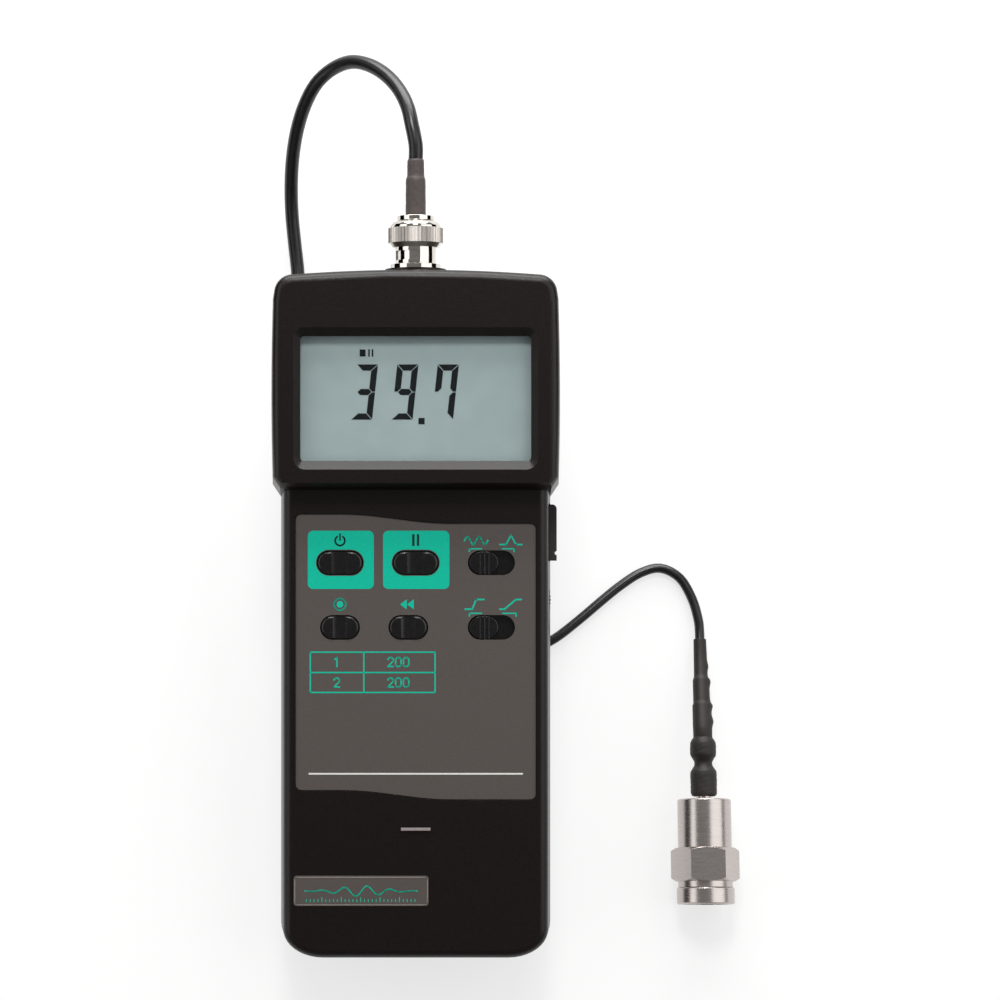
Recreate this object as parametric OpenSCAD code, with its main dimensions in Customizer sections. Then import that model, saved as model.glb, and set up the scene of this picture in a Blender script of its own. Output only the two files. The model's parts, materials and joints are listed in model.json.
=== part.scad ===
// Handheld vibration meter on its open tilt stand, with its accelerometer on a lead.
// The meter is modelled flat: +X right, +Y towards the connector end, +Z out of the face,
// with y = 0 at the foot end and z = 0 on the flat back. It is then leaned back on its stand.
// The lead and the sensor are modelled on the table, whose top is z = 0.

/* [Case] */
// Length of the case from foot end to connector end
case_l = 180; // [176:0.5:184]
// How far each side of the lower body lies in from the display head's side
neck_step = 2.6; // [2.4:0.1:2.8]
// Thickness of the lower body
body_t = 25.5; // [25.2:0.1:26]
// Thickness of the display head
head_t = 32; // [31.8:0.1:32.6]
// Height of the parting line between the two shells
split_z = 10; // [9.6:0.1:10.2]
// Wall of both shells
case_wall = 2; // [1.8:0.1:2.2]
// Front wall of the lower body
face_wall = 2.4; // [2.3:0.05:2.6]
// Front wall of the display head
head_wall = 2.1; // [2:0.05:2.3]
// Back wall of the rear shell
rear_wall = 2.2; // [2:0.1:2.4]
// How far the sides draw in between the parting line and the face
draw_in = 1.2; // [1:0.1:1.4]
// Radius of the front edges
edge_r = 2.4; // [2:0.1:2.6]
// Radius of the back edges
rear_r = 2.2; // [2:0.1:2.4]
// Lean of the meter on its open stand, in degrees
lean = 10; // [8:0.5:12]

/* [Face] */
// Margin between the face plate and the side of the body
plate_margin = 4.5; // [4.3:0.1:4.8]
// Length of the face plate on its left side
plate_l = 71.2; // [70:0.2:72]
// Thickness of the face plate
plate_t = 0.6; // [0.5:0.05:0.7]
// Depth of the recess that holds the face plate
plate_recess = 1; // [0.9:0.05:1.1]
// Drop of the plate's edges from left to right
plate_drop = 2.4; // [2:0.1:3]
// Distance between the columns of controls
column_pitch = 19.55; // [19:0.05:20]
// Distance between the two rows of controls
row_pitch = 16.7; // [16:0.1:17.5]
// Length of the openings of the two large buttons
large_key_l = 12.1; // [11.8:0.1:12.4]
// Length of the openings of the two small buttons
small_key_l = 10.3; // [10:0.1:10.6]
// Width of every control opening
key_w = 6.4; // [6.2:0.1:6.6]
// Length of the slide switch openings
slot_l = 12.2; // [12:0.1:12.4]
// Length of a slide switch knob
knob_l = 7.6; // [7.4:0.1:7.8]
// Depth that a button travels
key_travel = 0.5; // [0.4:0.05:0.5]
// Clearance between a control and its opening
key_gap = 0.25; // [0.2:0.05:0.3]
// Width of the small label plate
label_l = 34.9; // [33:0.1:36]
// Height of the small label plate
label_w = 7.8; // [7:0.1:8.5]

/* [Display] */
// Width of the visible display
view_w = 59.2; // [58:0.2:60]
// Height of the visible display
view_h = 32; // [31:0.2:33]
// Margin between the display and each side of the head
display_side = 8.5; // [8.3:0.1:8.9]
// Margin between the display and the head's lower edge
display_foot = 9.2; // [9:0.1:9.6]
// Margin between the display and the head's far end
display_brow = 18.3; // [18:0.1:18.8]
// Width of the sloping frame round the display at the sides
bevel_w = 1.7; // [1.5:0.1:1.9]
// Width of the sloping frame above and below the display
bevel_h = 2.2; // [2:0.1:2.4]
// Depth of the sloping frame
bevel_depth = 1.6; // [1.4:0.1:1.7]
// Thickness of the clear window
window_t = 1.5; // [1.3:0.1:1.6]
// Thickness of the liquid crystal panel
lcd_t = 2.7; // [2.5:0.1:2.8]

/* [Inside] */
// Height of the upper side of the main board
board_top = 18; // [17.8:0.05:18.1]
// Thickness of the main board
board_t = 1.6; // [1.5:0.05:1.7]
// Margin between the main board and each side of the lower body
board_margin = 4.5; // [4.3:0.1:4.8]
// Length of the battery without its terminals
battery_l = 46.4; // [46:0.1:46.6]
// Width of the battery
battery_w = 26.2; // [25.8:0.1:26.4]
// Thickness of the battery
battery_t = 17; // [16.5:0.1:17.2]
// Bore radius of the data jack
jack_bore_r = 1.8; // [1.75:0.01:1.85]
// Radius of the zero adjuster's wheel
wheel_r = 5.5; // [5.4:0.05:5.6]
// Width of the zero adjuster's wheel
wheel_t = 2.6; // [2.4:0.1:2.8]
// How far the wheel stands out of the case's side
wheel_out = 0.4; // [0.3:0.05:0.5]

/* [Stand and battery door] */
// Width of the tilt stand
stand_w = 34; // [32:0.5:34.5]
// Thickness of the tilt stand
stand_t = 2.4; // [2.2:0.1:2.6]
// Angle through which the stand opens
stand_open = 95; // [94:0.5:98]
// Width of the battery door between its rails
door_w = 29; // [28.6:0.2:29.4]
// Length of the battery door
door_l = 58; // [57.6:0.2:59]

/* [Connector] */
// Height of the connector's axis over the back
bnc_z = 16; // [15.8:0.1:16.4]
// Radius of the socket's flange
flange_r = 6.6; // [6.5:0.05:6.8]
// Outer radius of the socket's barrel
barrel_r = 4.7; // [4.68:0.01:4.72]
// Radius of the bayonet lugs
lug_r = 1; // [0.95:0.01:1]
// Outer radius of the coupling nut's skirt
skirt_r = 5.35; // [5.3:0.05:5.5]
// Outer radius of the coupling nut's knurl
knurl_r = 7.2; // [7.1:0.05:7.4]

/* [Sensor] */
// Width across the flats of the sensor's hexagon
hex_af = 15.8; // [15.6:0.1:16.2]
// Length of the hexagon
hex_l = 8.8; // [8.4:0.1:9.2]
// Radius of the sensor's can
can_r = 7.12; // [7:0.05:7.3]
// Length of the sensor's can
can_l = 12.9; // [12.5:0.1:13.5]
// Radius of the magnetic base
base_r = 7.65; // [7.4:0.05:7.75]
// Length of the magnetic base
base_l = 4.4; // [4.2:0.1:4.6]
// Distance of the sensor from the meter's centre line
sensor_x = 77; // [76.5:0.5:78]
// Distance of the magnetic base's face from the meter's foot end
sensor_y = 11.2; // [10.5:0.1:12]

/* [Lead] */
// Diameter of the sleeved stretch at the connector
sleeved_d = 3.8; // [3.6:0.1:3.9]
// Diameter of the lead
lead_d = 2.6; // [2.5:0.05:2.7]
// Mean radius of the coil's turns
coil_r = 14.5; // [14:0.1:15]
// Turns in each layer of the coil
layer_turns = 2.5; // [2.5:1:2.5]
// Layers of the coil
layers = 4; // [2:2:4]
// Distance between turns that lie side by side or on each other
coil_pitch = 3.05; // [3.05:0.01:3.2]

/* [Hidden] */
$fn = 48;

// Overrun of every cut past the face that it opens
over = 0.5;
// Thickness of the thin slices that a shell is drawn over
sliver = 0.01;
// Gap between pieces that lie flat against each other
seat_gap = 0.05;
// Gap between pieces that only stand near each other
rest_gap = 0.3;
// Sides of a smooth form inside a hull
hull_sides = 32;

// Places along the case
head_w = view_w + 2 * display_side;
head_l = display_foot + view_h + display_brow;
body_w = head_w - 2 * neck_step;
board_w = body_w - 2 * board_margin;
neck_y = case_l - head_l;
view_y = neck_y + display_foot + view_h / 2;
head_mid = neck_y + 0.46 * head_l;
rest_y = draw_in + rear_r;
body_ceiling = body_t - face_wall;
head_ceiling = head_t - head_wall;

// The outlines of the case
foot_run = 11.5;
foot_rise = 8.5;
head_corner = 6;
side_bulge = 0.55;
top_bulge = 1.2;
neck_rise = 3.4;
chin_rise = 3.6;
body_tail = 12;
turn_steps = 10;
side_steps = 8;

function arc(c, r, from, to, n) =
    [for (i = [0 : n]) let (a = from + (to - from) * i / n) [c[0] + r[0] * cos(a), c[1] + r[1] * sin(a)]];

function body_outline(tail) = concat(
    arc([body_w / 2 - foot_run, foot_rise], [foot_run, foot_rise], 270, 360, turn_steps),
    [[body_w / 2, neck_y + tail], [-body_w / 2, neck_y + tail]],
    arc([foot_run - body_w / 2, foot_rise], [foot_run, foot_rise], 180, 270, turn_steps));

function head_half(y) = head_w / 2 - side_bulge * pow((y - head_mid) / (head_l / 2), 2);

// The head's outline, whose lower edge lies at low and rises into the sides over the neck
function head_outline(low) =
    let (corner = [head_w / 2 - side_bulge - head_corner, case_l - top_bulge - head_corner],
         side_low = low + neck_rise,
         side = [for (i = [0 : side_steps]) side_low + (corner[1] - side_low) * i / side_steps],
         top = [for (i = [1 : side_steps * 2 - 1]) corner[0] * (1 - i / side_steps)])
    concat(
        [[-body_w / 2, low], [body_w / 2, low]],
        [for (y = side) [head_half(y), y]],
        arc(corner, [head_corner, head_corner], 0, 90, turn_steps),
        [for (x = top) [x, case_l - top_bulge * pow(x / corner[0], 2)]],
        arc([-corner[0], corner[1]], [head_corner, head_corner], 90, 180, turn_steps),
        [for (i = [side_steps : -1 : 0]) [-head_half(side[i]), side[i]]]);

// Height and margin of each slice of a rounded front edge, and of a rounded back edge
edge_angles = [0, 18, 36, 54, 72, 90];
function front_slices(top) = concat([[split_z, 0]],
    [for (a = edge_angles) [top - edge_r + edge_r * sin(a) - sliver, draw_in + edge_r * (1 - cos(a))]]);
rear_slices = concat([[split_z - sliver, 0]],
    [for (a = edge_angles) [rear_r * (1 - sin(a)), draw_in + rear_r * (1 - cos(a))]]);

module slice(points, z, inset)
    translate([0, 0, z]) linear_extrude(sliver) offset(delta = -inset) polygon(points);

// The head's lower edge lies at the neck up to the body's face and slopes up the chin above it
function chin(z) = z > body_t ? chin_rise * (z - body_t) / (head_t - body_t) : 0;

module body_form(slices, tail)
    hull() for (s = slices) slice(body_outline(tail), s[0], s[1]);

module head_form(slices)
    hull() for (s = slices) slice(head_outline(neck_y + chin(s[0]) - s[1]), s[0], s[1]);

// The hollow of a shell, a wall inside its form, from one height to another
module body_hollow(low, high, narrow)
    hull() {
        slice(body_outline(body_tail), low, case_wall + narrow[0]);
        slice(body_outline(body_tail), high, case_wall + narrow[1]);
    }

module head_hollow(low, high, narrow)
    hull() {
        slice(head_outline(neck_y - narrow[0]), low, case_wall + narrow[0]);
        slice(head_outline(neck_y + chin(high) - narrow[1]), high, case_wall + narrow[1]);
    }

// Plain outlines that stay exact when they are extruded
module pill(l, w) {
    square([l - w, w], center = true);
    for (side = [-1, 1]) translate([side * (l - w) / 2, 0]) circle(d = w);
}

module rounded(l, w, r) {
    square([l - 2 * r, w], center = true);
    square([l, w - 2 * r], center = true);
    for (x = [-1, 1], y = [-1, 1]) translate([x * (l / 2 - r), y * (w / 2 - r)]) circle(r);
}

module block(size) translate([-size[0] / 2, -size[1] / 2, 0]) cube(size);

module ring(outer, inner, h) difference() {
    cylinder(r = outer, h = h);
    translate([0, 0, -over]) cylinder(r = inner, h = h + 2 * over);
}

// An outline extruded along +X, with its own x along +Y and its own y along +Z
module along_x(x, h) translate([x, 0, 0]) rotate([90, 0, 90]) linear_extrude(h) children();

// A form built on +Z, laid along +Y at a height; its own -Y side then faces up
module along_y(height) translate([0, 0, height]) rotate([-90, 0, 0]) children();

// Places: the meter leans about the line on its flat back that meets the table
hex_r = hex_af / 2 / cos(30);
socket_l = 10.4;
socket_end = case_l + socket_l;
foot_reach = rest_y - (rest_y - draw_in) * cos(lean) - (body_t - edge_r) * sin(lean);
socket_reach = rest_y + (socket_end - rest_y) * cos(lean) - (bnc_z - barrel_r) * sin(lean);
origin = [(sensor_x + hex_r - head_w / 2) / 2, (foot_reach + socket_reach) / 2];

function leaned(p) = [p[0],
    rest_y + (p[1] - rest_y) * cos(lean) - p[2] * sin(lean),
    (p[1] - rest_y) * sin(lean) + p[2] * cos(lean)];

module on_table(c) color(c) translate([-origin[0], -origin[1], 0]) children();

module on_meter(c) on_table(c)
    translate([0, rest_y, 0]) rotate([lean, 0, 0]) translate([0, -rest_y, 0]) children();

// Controls
row_back = 17;
row_top = neck_y - row_back;
row_low = row_top - row_pitch;
recall_shift = 1.9;
keys = [
    [-column_pitch, row_top, large_key_l], [0, row_top, large_key_l],
    [-column_pitch, row_low, small_key_l], [-recall_shift, row_low, small_key_l]];
slots = [[column_pitch, row_top], [column_pitch, row_low]];
slide_spare = 0.7;
slide_travel = slot_l - knob_l - slide_spare;
plate_bottom = body_t - plate_recess;
plate_top = plate_bottom + plate_t;

// Face plate
plate_w = body_w - 2 * plate_margin;
plate_back = 4.5;
plate_high = neck_y - plate_back;
plate_corner = 1.4;
wave_shares = [-0.3, 0.14];
wave_steps = 8;
function ease(t) = let (c = max(0, min(1, t))) c * c * (3 - 2 * c);
function wave_x(i) = plate_w * (wave_shares[0] + (wave_shares[1] - wave_shares[0]) * i / wave_steps);
function plate_outline(gap) =
    let (w = plate_w / 2 + gap, r = plate_corner + gap, rr = [r, r],
         high = plate_high + gap, low = plate_high - plate_l - gap)
    concat(
        arc([w - r, high - plate_drop - r], rr, 0, 90, turn_steps / 2),
        [for (i = [wave_steps : -1 : 0]) [wave_x(i), high - plate_drop * ease(i / wave_steps)]],
        arc([r - w, high - r], rr, 90, 180, turn_steps / 2),
        arc([r - w, low + r], rr, 180, 270, turn_steps / 2),
        [for (i = [0 : wave_steps]) [wave_x(i), low - plate_drop * ease(i / wave_steps)]],
        arc([w - r, low - plate_drop + r], rr, 270, 360, turn_steps / 2));
plate_gap = 0.15;

module control_openings(gap) {
    for (k = keys) translate([k[0], k[1]]) pill(k[2] + 2 * gap, key_w + 2 * gap);
    for (s = slots) translate(s) pill(slot_l + 2 * gap, key_w + 2 * gap);
}

// Label plate
label_out = 0.55;
label_y = 18.8;
label_at = [label_l / 2 - plate_w / 2 - label_out, label_y];
label_corner = 0.8;
label_recess = 0.3;
label_t = 0.5;
label_gap = 0.1;

// Raised bar on the lower body
pip = [7.8, 1.2, 0.35];
pip_y = 34.6;

// Display
window_margin = 2.6;
lcd_margin = 2.1;
frame_corner = 3;
view_corner = 1;
lcd_top = head_ceiling - window_t - rest_gap;
holder_wall = 1.3;
holder_foot = 2;

// Screw bosses, and the screws that go up into them from the back
screw_in = [8, 8.1];
screw_ends = [13.5, 9];
low_screw_x = body_w / 2 - screw_in[0];
high_screw_x = head_w / 2 - screw_in[1];
screws = [
    [-low_screw_x, screw_ends[0]], [low_screw_x, screw_ends[0]],
    [-high_screw_x, case_l - screw_ends[1]], [high_screw_x, case_l - screw_ends[1]]];
boss_r = 3.2;
rear_boss_r = 4.2;
screw_r = 1.25;
pilot_gap = 0.05;
screw_head_r = 2.6;
screw_head_l = 2.2;
counterbore_r = 3;
counterbore_depth = 6;
screw_l = 14;
screw_spare = 2;
drive_w = 0.6;
drive_l = 3.2;
drive_depth = 1;

// Standoffs of the main board, and their screws
standoff_r = 2.6;
board_screw_r = 0.9;
board_screw_l = 4;
board_head_r = 1.9;
board_head_l = 1.3;
board_hole_r = 1.2;

// Connector socket in the case's end wall
pad_r = 8;
pad_in = 3.5;
socket_hole_gap = 0.1;

// Data jack in the right side
jack_back = 9.3;
jack_y = neck_y - jack_back;
jack_z = 13.7;
flap_z = 14.2;
jack_cover_l = 14.7;
jack_cover_h = 7.4;
jack_cover_t = 2.4;
jack_pocket_gap = 0.25;
jack_pocket_in = 1.3;
jack_pocket_corner = 0.4;
jack_face = body_w / 2 - jack_pocket_in;
jack_nose_r = 3;
jack_hole_r = 3.2;
jack_pad = 2.7;
jack_pad_rise = 1.5;

// Zero adjuster
wheel_back = 27;
wheel_y = neck_y - wheel_back;
wheel_z = 11.4;
wheel_inset = 0.35;
wheel_x = body_w / 2 - wheel_inset + wheel_out - wheel_r;
wheel_slot_gap = 0.3;

module front_case() on_meter("#1d1817") difference() {
    union() {
        difference() {
            union() {
                body_form(front_slices(body_t), body_tail);
                head_form(front_slices(head_t));
            }
            body_hollow(split_z - over, body_ceiling, [0, draw_in + edge_r / 2]);
            head_hollow(split_z - over, head_ceiling, [0, draw_in + edge_r / 2]);
        }
        socket_pad();
        case_bosses();
        board_standoffs();
        jack_pad_form();
        translate([0, pip_y, body_t - sliver]) block([pip[0], pip[1], pip[2] + sliver]);
    }
    face_cuts();
    display_cuts();
    side_cuts();
    translate([0, case_l + over, bnc_z]) rotate([90, 0, 0])
        cylinder(r = barrel_r + socket_hole_gap, h = pad_in + 2 * over);
    for (s = screws) translate([s[0], s[1], split_z - over]) cylinder(r = screw_r + pilot_gap, h = screw_l);
    for (s = standoffs) translate([s[0], s[1], board_top - over])
        cylinder(r = board_screw_r + pilot_gap, h = board_screw_l);
}

// Thick seat for the socket, trimmed at the parting line
module socket_pad() intersection() {
    translate([0, case_l - pad_in, 0]) along_y(bnc_z) cylinder(r = pad_r, h = pad_in);
    translate([0, case_l, split_z]) block([2 * pad_r, 4 * pad_in, head_t]);
}

module case_bosses()
    for (s = screws) translate([s[0], s[1], split_z])
        cylinder(r = boss_r, h = (s[1] > neck_y ? head_ceiling : body_ceiling) - split_z + sliver);

module board_standoffs()
    for (s = standoffs) translate([s[0], s[1], board_top])
        cylinder(r = standoff_r, h = body_ceiling - board_top + sliver);

module jack_pad_form()
    translate([jack_face - jack_pad, jack_y - jack_cover_l / 2, split_z])
        cube([jack_pad, jack_cover_l, jack_cover_h + jack_pad_rise]);

module face_cuts() {
    translate([0, 0, plate_bottom]) linear_extrude(plate_recess + over) polygon(plate_outline(plate_gap));
    translate([0, 0, body_ceiling - over]) linear_extrude(face_wall) control_openings(0);
    translate([label_at[0], label_at[1], body_t - label_recess]) linear_extrude(label_recess + over)
        rounded(label_l + 2 * label_gap, label_w + 2 * label_gap, label_corner);
}

module display_cuts() {
    translate([0, view_y, head_ceiling - over]) linear_extrude(head_wall + over)
        rounded(view_w, view_h, view_corner);
    translate([0, view_y, head_t - bevel_depth]) hull() {
        linear_extrude(sliver) rounded(view_w, view_h, view_corner, $fn = hull_sides);
        translate([0, 0, bevel_depth]) linear_extrude(over)
            rounded(view_w + 2 * bevel_w, view_h + 2 * bevel_h, frame_corner, $fn = hull_sides);
    }
}

module side_cuts() {
    translate([0, jack_y, flap_z]) along_x(jack_face, body_w)
        rounded(jack_cover_l + 2 * jack_pocket_gap, jack_cover_h + 2 * jack_pocket_gap, jack_pocket_corner);
    translate([0, jack_y, jack_z]) rotate([0, 90, 0]) cylinder(r = jack_hole_r, h = body_w);
    translate([wheel_x, wheel_y, wheel_z - wheel_slot_gap])
        cylinder(r = wheel_r + wheel_slot_gap, h = wheel_t + 2 * wheel_slot_gap);
}

// Stand pocket, hinge and door rails in the rear shell
hinge_back = 8.5;
hinge_y = neck_y - hinge_back;
hinge_z = 2.6;
knuckle_r = 2.2;
stub_r = 1.5;
stub_l = 1.8;
stub_gap = 0.08;
stand_gap = 0.3;
pocket_wall = 3.2;
pocket_roof = 1.8;
stand_toe_r = 1.2;
toe_offset = knuckle_r - stand_toe_r;
hinge_rise = (hinge_y - rest_y) * sin(lean) + hinge_z * cos(lean);
stand_tilt = lean + stand_open - 90;
stand_l = (hinge_rise + toe_offset * sin(stand_tilt) - stand_toe_r) / cos(stand_tilt);
stop_gap = 0.1;
stop_y = hinge_y + knuckle_r * cos(stand_open - 90) + hinge_z * tan(stand_open - 90) + stop_gap;
pocket_low = hinge_y - stand_l - stand_toe_r - stand_gap;

rail_w = 1.3;
rail_t = 0.9;
lip_t = 1;
door_gap = 0.15;
door_recess = 0.1;
door_t = 1.95;
bay_gap = 0.5;
bay_wall = 3.6;
bay_low = 5.2;
snap_l = 3;
terminal_l = 2.1;
bay_high = bay_low + rest_gap + battery_l + terminal_l + snap_l + 2 * rest_gap;
bay_end_wall = 1.6;

// The main board reaches from the battery's bay to the display's far edge
board_spare = [1.8, 4.8];
board_low = bay_high + bay_end_wall + board_spare[0];
board_high = view_y + view_h / 2 + board_spare[1];
board_corner = 1;
standoff_in = [3.5, 5, 1.5];
standoff_x = board_w / 2 - standoff_in[0];
standoff_rows = [board_low + standoff_in[1], neck_y - standoff_in[2]];
standoffs = [for (x = [-standoff_x, standoff_x], y = standoff_rows) [x, y]];

module rear_case() on_meter("#1a1615") difference() {
    union() {
        difference() {
            union() {
                body_form(rear_slices, body_tail);
                head_form(rear_slices);
            }
            body_hollow(rear_wall, split_z + over, [draw_in, 0]);
            head_hollow(rear_wall, split_z + over, [draw_in, 0]);
        }
        for (s = screws) translate([s[0], s[1], sliver]) cylinder(r = rear_boss_r, h = split_z - seat_gap);
        stand_housing();
        battery_bay();
    }
    stand_pocket();
    door_opening(door_gap);
    for (s = screws) translate([s[0], s[1], -over]) {
        cylinder(r = counterbore_r, h = counterbore_depth + over);
        cylinder(r = screw_r + 2 * pilot_gap, h = split_z + 2 * over);
    }
}

module stand_housing()
    translate([0, pocket_low - case_wall, sliver])
        block_y([stand_w + 2 * stand_gap + 2 * pocket_wall, stop_y - pocket_low + 2 * case_wall,
            hinge_z + knuckle_r + stand_gap + pocket_roof]);

// A block centred on x only, from y = 0
module block_y(size) translate([-size[0] / 2, 0, 0]) cube(size);

module stand_pocket() {
    w = stand_w + 2 * stand_gap;
    translate([0, pocket_low, -over]) block_y([w, stop_y - pocket_low, stand_t + 2 * stand_gap + over]);
    translate([0, hinge_y - knuckle_r - 2 * stand_gap, -over])
        block_y([w, stop_y - hinge_y + knuckle_r + 2 * stand_gap, hinge_z + knuckle_r + stand_gap + over]);
    translate([-w / 2 - stub_l - stand_gap, hinge_y, hinge_z]) rotate([0, 90, 0])
        cylinder(r = stub_r + stub_gap, h = w + 2 * (stub_l + stand_gap));
    translate([0, pocket_low, -over]) cylinder(r = finger_r, h = finger_depth + over);
}
finger_r = 7;
finger_depth = 1.4;

module battery_bay() difference() {
    translate([0, bay_low - case_wall, rear_wall - over])
        block_y([battery_w + 2 * bay_gap + 2 * bay_wall, bay_high - bay_low + case_wall + bay_end_wall,
            split_z - rear_wall + over - seat_gap]);
    translate([0, bay_low, rear_wall - over])
        block_y([battery_w + 2 * bay_gap, bay_high - bay_low, split_z]);
}

// The door's plate and its two rails, grown by a gap for the opening that they slide in
module door_slot(gap) {
    reach = door_l + gap;
    translate([0, -over, -over]) block_y([door_w + 2 * gap, reach + over, door_t + gap + over]);
    translate([0, -over, lip_t - gap])
        block_y([door_w + 2 * rail_w + 2 * gap, reach + over, door_t - lip_t + 2 * gap]);
}

module door_opening(gap) {
    door_slot(gap);
    translate([0, bay_low, 0]) block_y([battery_w + 2 * bay_gap, door_l - bay_low - case_wall, split_z]);
}

module case_screws() on_meter("#8d8f92")
    for (s = screws) translate([s[0], s[1], counterbore_depth - screw_head_l - seat_gap]) difference() {
        union() {
            cylinder(r = screw_head_r, h = screw_head_l);
            cylinder(r = screw_r, h = screw_head_l + screw_l - screw_spare);
        }
        translate([0, 0, -over]) {
            block([drive_l, drive_w, drive_depth + over]);
            block([drive_w, drive_l, drive_depth + over]);
        }
    }

module face_plate() on_meter("#57504d") translate([0, 0, plate_bottom]) linear_extrude(plate_t)
    difference() {
        polygon(plate_outline(0));
        control_openings(0);
    }

module label_plate() on_meter("#57504d")
    translate([label_at[0], label_at[1], body_t - label_recess]) linear_extrude(label_t)
        rounded(label_l, label_w, label_corner);

module display_window() on_meter("#dfe6e6")
    translate([0, view_y, head_ceiling - window_t]) linear_extrude(window_t)
        rounded(view_w + 2 * window_margin, view_h + 2 * window_margin, view_corner);

module lcd_panel() on_meter("#9fb0b0")
    translate([0, view_y, lcd_top - lcd_t]) linear_extrude(lcd_t)
        rounded(view_w + 2 * lcd_margin, view_h + 2 * lcd_margin, view_corner);

zebra_inset = 1.6;
zebra_t = 2;

module lcd_holder() on_meter("#e4e2dc") translate([0, view_y, 0]) {
    inner = [view_w + 2 * lcd_margin + 2 * key_gap, view_h + 2 * lcd_margin + 2 * key_gap];
    ledge_z = lcd_top - lcd_t - seat_gap;
    foot_z = board_top + holder_foot;
    translate([0, 0, foot_z]) linear_extrude(lcd_top - foot_z) difference() {
        rounded(inner[0] + 2 * holder_wall, inner[1] + 2 * holder_wall, view_corner);
        square(inner, center = true);
    }
    translate([0, 0, foot_z]) linear_extrude(ledge_z - foot_z) difference() {
        square([inner[0] + holder_wall, inner[1] + holder_wall], center = true);
        square([view_w, view_h + zebra_inset], center = true);
    }
    leg = [view_w / 2 - 2 * holder_foot, (view_h + zebra_inset + holder_foot) / 2];
    for (x = [-1, 1], y = [-1, 1]) translate([x * leg[0], y * leg[1], board_top])
        cylinder(r = holder_foot / 2, h = holder_foot + sliver);
}

module zebra_strips() on_meter("#b9b4c4")
    for (y = [-1, 1]) translate([0, view_y + y * (view_h / 2 - zebra_inset / 2), board_top])
        block([view_w - 2 * zebra_t, zebra_t, lcd_top - lcd_t - board_top - seat_gap]);

module main_board() on_meter("#2f6b45") translate([0, 0, board_top - board_t]) linear_extrude(board_t)
    difference() {
        translate([0, (board_low + board_high) / 2]) rounded(board_w, board_high - board_low, board_corner);
        for (s = standoffs) translate(s) circle(board_hole_r);
        translate([wheel_x, wheel_y]) circle(board_hole_r);
    }

module board_screws() on_meter("#b7b9bb")
    for (s = standoffs) translate([s[0], s[1], board_top - board_t - board_head_l]) {
        cylinder(r = board_head_r, h = board_head_l);
        cylinder(r = board_screw_r, h = board_head_l + board_t + board_screw_l - 2 * over);
    }

switch_body = [6, 6, 2.8];
plunger_r = 1.7;
cap_flange = 0.7;
cap_flange_t = 0.8;
cap_stand = 0.45;
cap_round = 0.7;
cap_gap = 0.15;
plunger_gap = 0.1;
cap_low = body_ceiling - cap_gap - cap_flange_t;
plunger_top = cap_low - key_travel - plunger_gap;
scoop_share = 0.4;
scoop_depth = 0.35;

module key_switches() on_meter("#2b2b2d")
    for (k = keys) translate([k[0], k[1], board_top]) {
        block([switch_body[0], switch_body[1], switch_body[2]]);
        cylinder(r = plunger_r, h = plunger_top - board_top);
    }

// A cap with round ends, rounded along its top edge
module pill_cap(l, w, h, r) {
    profile = concat([[0, 0], [w / 2, 0]], arc([w / 2 - r, h - r], [r, r], 0, 90, turn_steps), [[0, h]]);
    for (side = [-1, 1]) translate([side * (l - w) / 2, 0, 0]) rotate_extrude() polygon(profile);
    rotate([90, 0, 90]) translate([0, 0, (w - l) / 2]) linear_extrude(l - w) {
        polygon(profile);
        mirror([1, 0]) polygon(profile);
    }
}

module button(k) {
    cap_l = k[2] - 2 * key_gap;
    cap_w = key_w - 2 * key_gap;
    cap_h = plate_top + cap_stand - cap_low;
    scoop_w = k[2] * scoop_share;
    scoop_r = (scoop_w * scoop_w / 4 + scoop_depth * scoop_depth) / (2 * scoop_depth);
    translate([k[0], k[1], cap_low]) difference() {
        union() {
            linear_extrude(cap_flange_t) pill(k[2] + 2 * cap_flange, key_w + 2 * cap_flange);
            pill_cap(cap_l, cap_w, cap_h, cap_round);
        }
        translate([0, cap_w, cap_h - scoop_depth + scoop_r]) rotate([90, 0, 0])
            cylinder(r = scoop_r, h = 2 * cap_w, $fn = 96);
    }
}

module power_button() on_meter("#161213") button(keys[0]);
module hold_button() on_meter("#161213") button(keys[1]);
module record_button() on_meter("#161213") button(keys[2]);
module recall_button() on_meter("#161213") button(keys[3]);

slide_body = [11, 6.4, 3.4];
slide_lug = [2.2, 1.6];
slide_groove = [7, 2.2, 1.6];
shutter_t = 0.6;
shutter_gap = 0.1;
knob_sink = 0.2;
ridge = [0.55, 0.3];
ridge_step = 1.15;
shutter_spare = 1;
shutter_l = 2 * (slot_l - knob_l / 2) + shutter_spare;

module slide_switches() on_meter("#9a9ca0")
    for (s = slots) translate([s[0], s[1], board_top]) difference() {
        block(slide_body);
        translate([0, 0, slide_body[2] - slide_groove[2]])
            block([slide_groove[0], slide_groove[1], slide_groove[2] + over]);
    }

module slider(s) {
    w = key_w - 2 * key_gap;
    shutter_z = body_ceiling - shutter_gap - shutter_t;
    knob_top = plate_top - knob_sink;
    lug_z = board_top + slide_body[2] - slide_groove[2] + rest_gap;
    translate([s[0] - slide_travel / 2, s[1], 0]) {
        translate([0, 0, shutter_z]) linear_extrude(shutter_t)
            square([shutter_l, key_w + 2 * cap_flange], center = true);
        translate([0, 0, lug_z]) block([slide_lug[0], slide_lug[1], shutter_z - lug_z]);
        difference() {
            translate([0, 0, shutter_z]) pill_cap(knob_l, w, knob_top - shutter_z, cap_round / 2);
            for (side = [-1, 0, 1]) translate([(side + 0.25) * ridge_step, w, knob_top])
                rotate([90, 0, 0]) cylinder(r = ridge[1] * 1.2, h = 2 * w);
        }
    }
}

module detector_slider() on_meter("#1b1718") slider(slots[0]);
module range_slider() on_meter("#1b1718") slider(slots[1]);

jack_body = [12.5, 8, 5.2];

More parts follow.
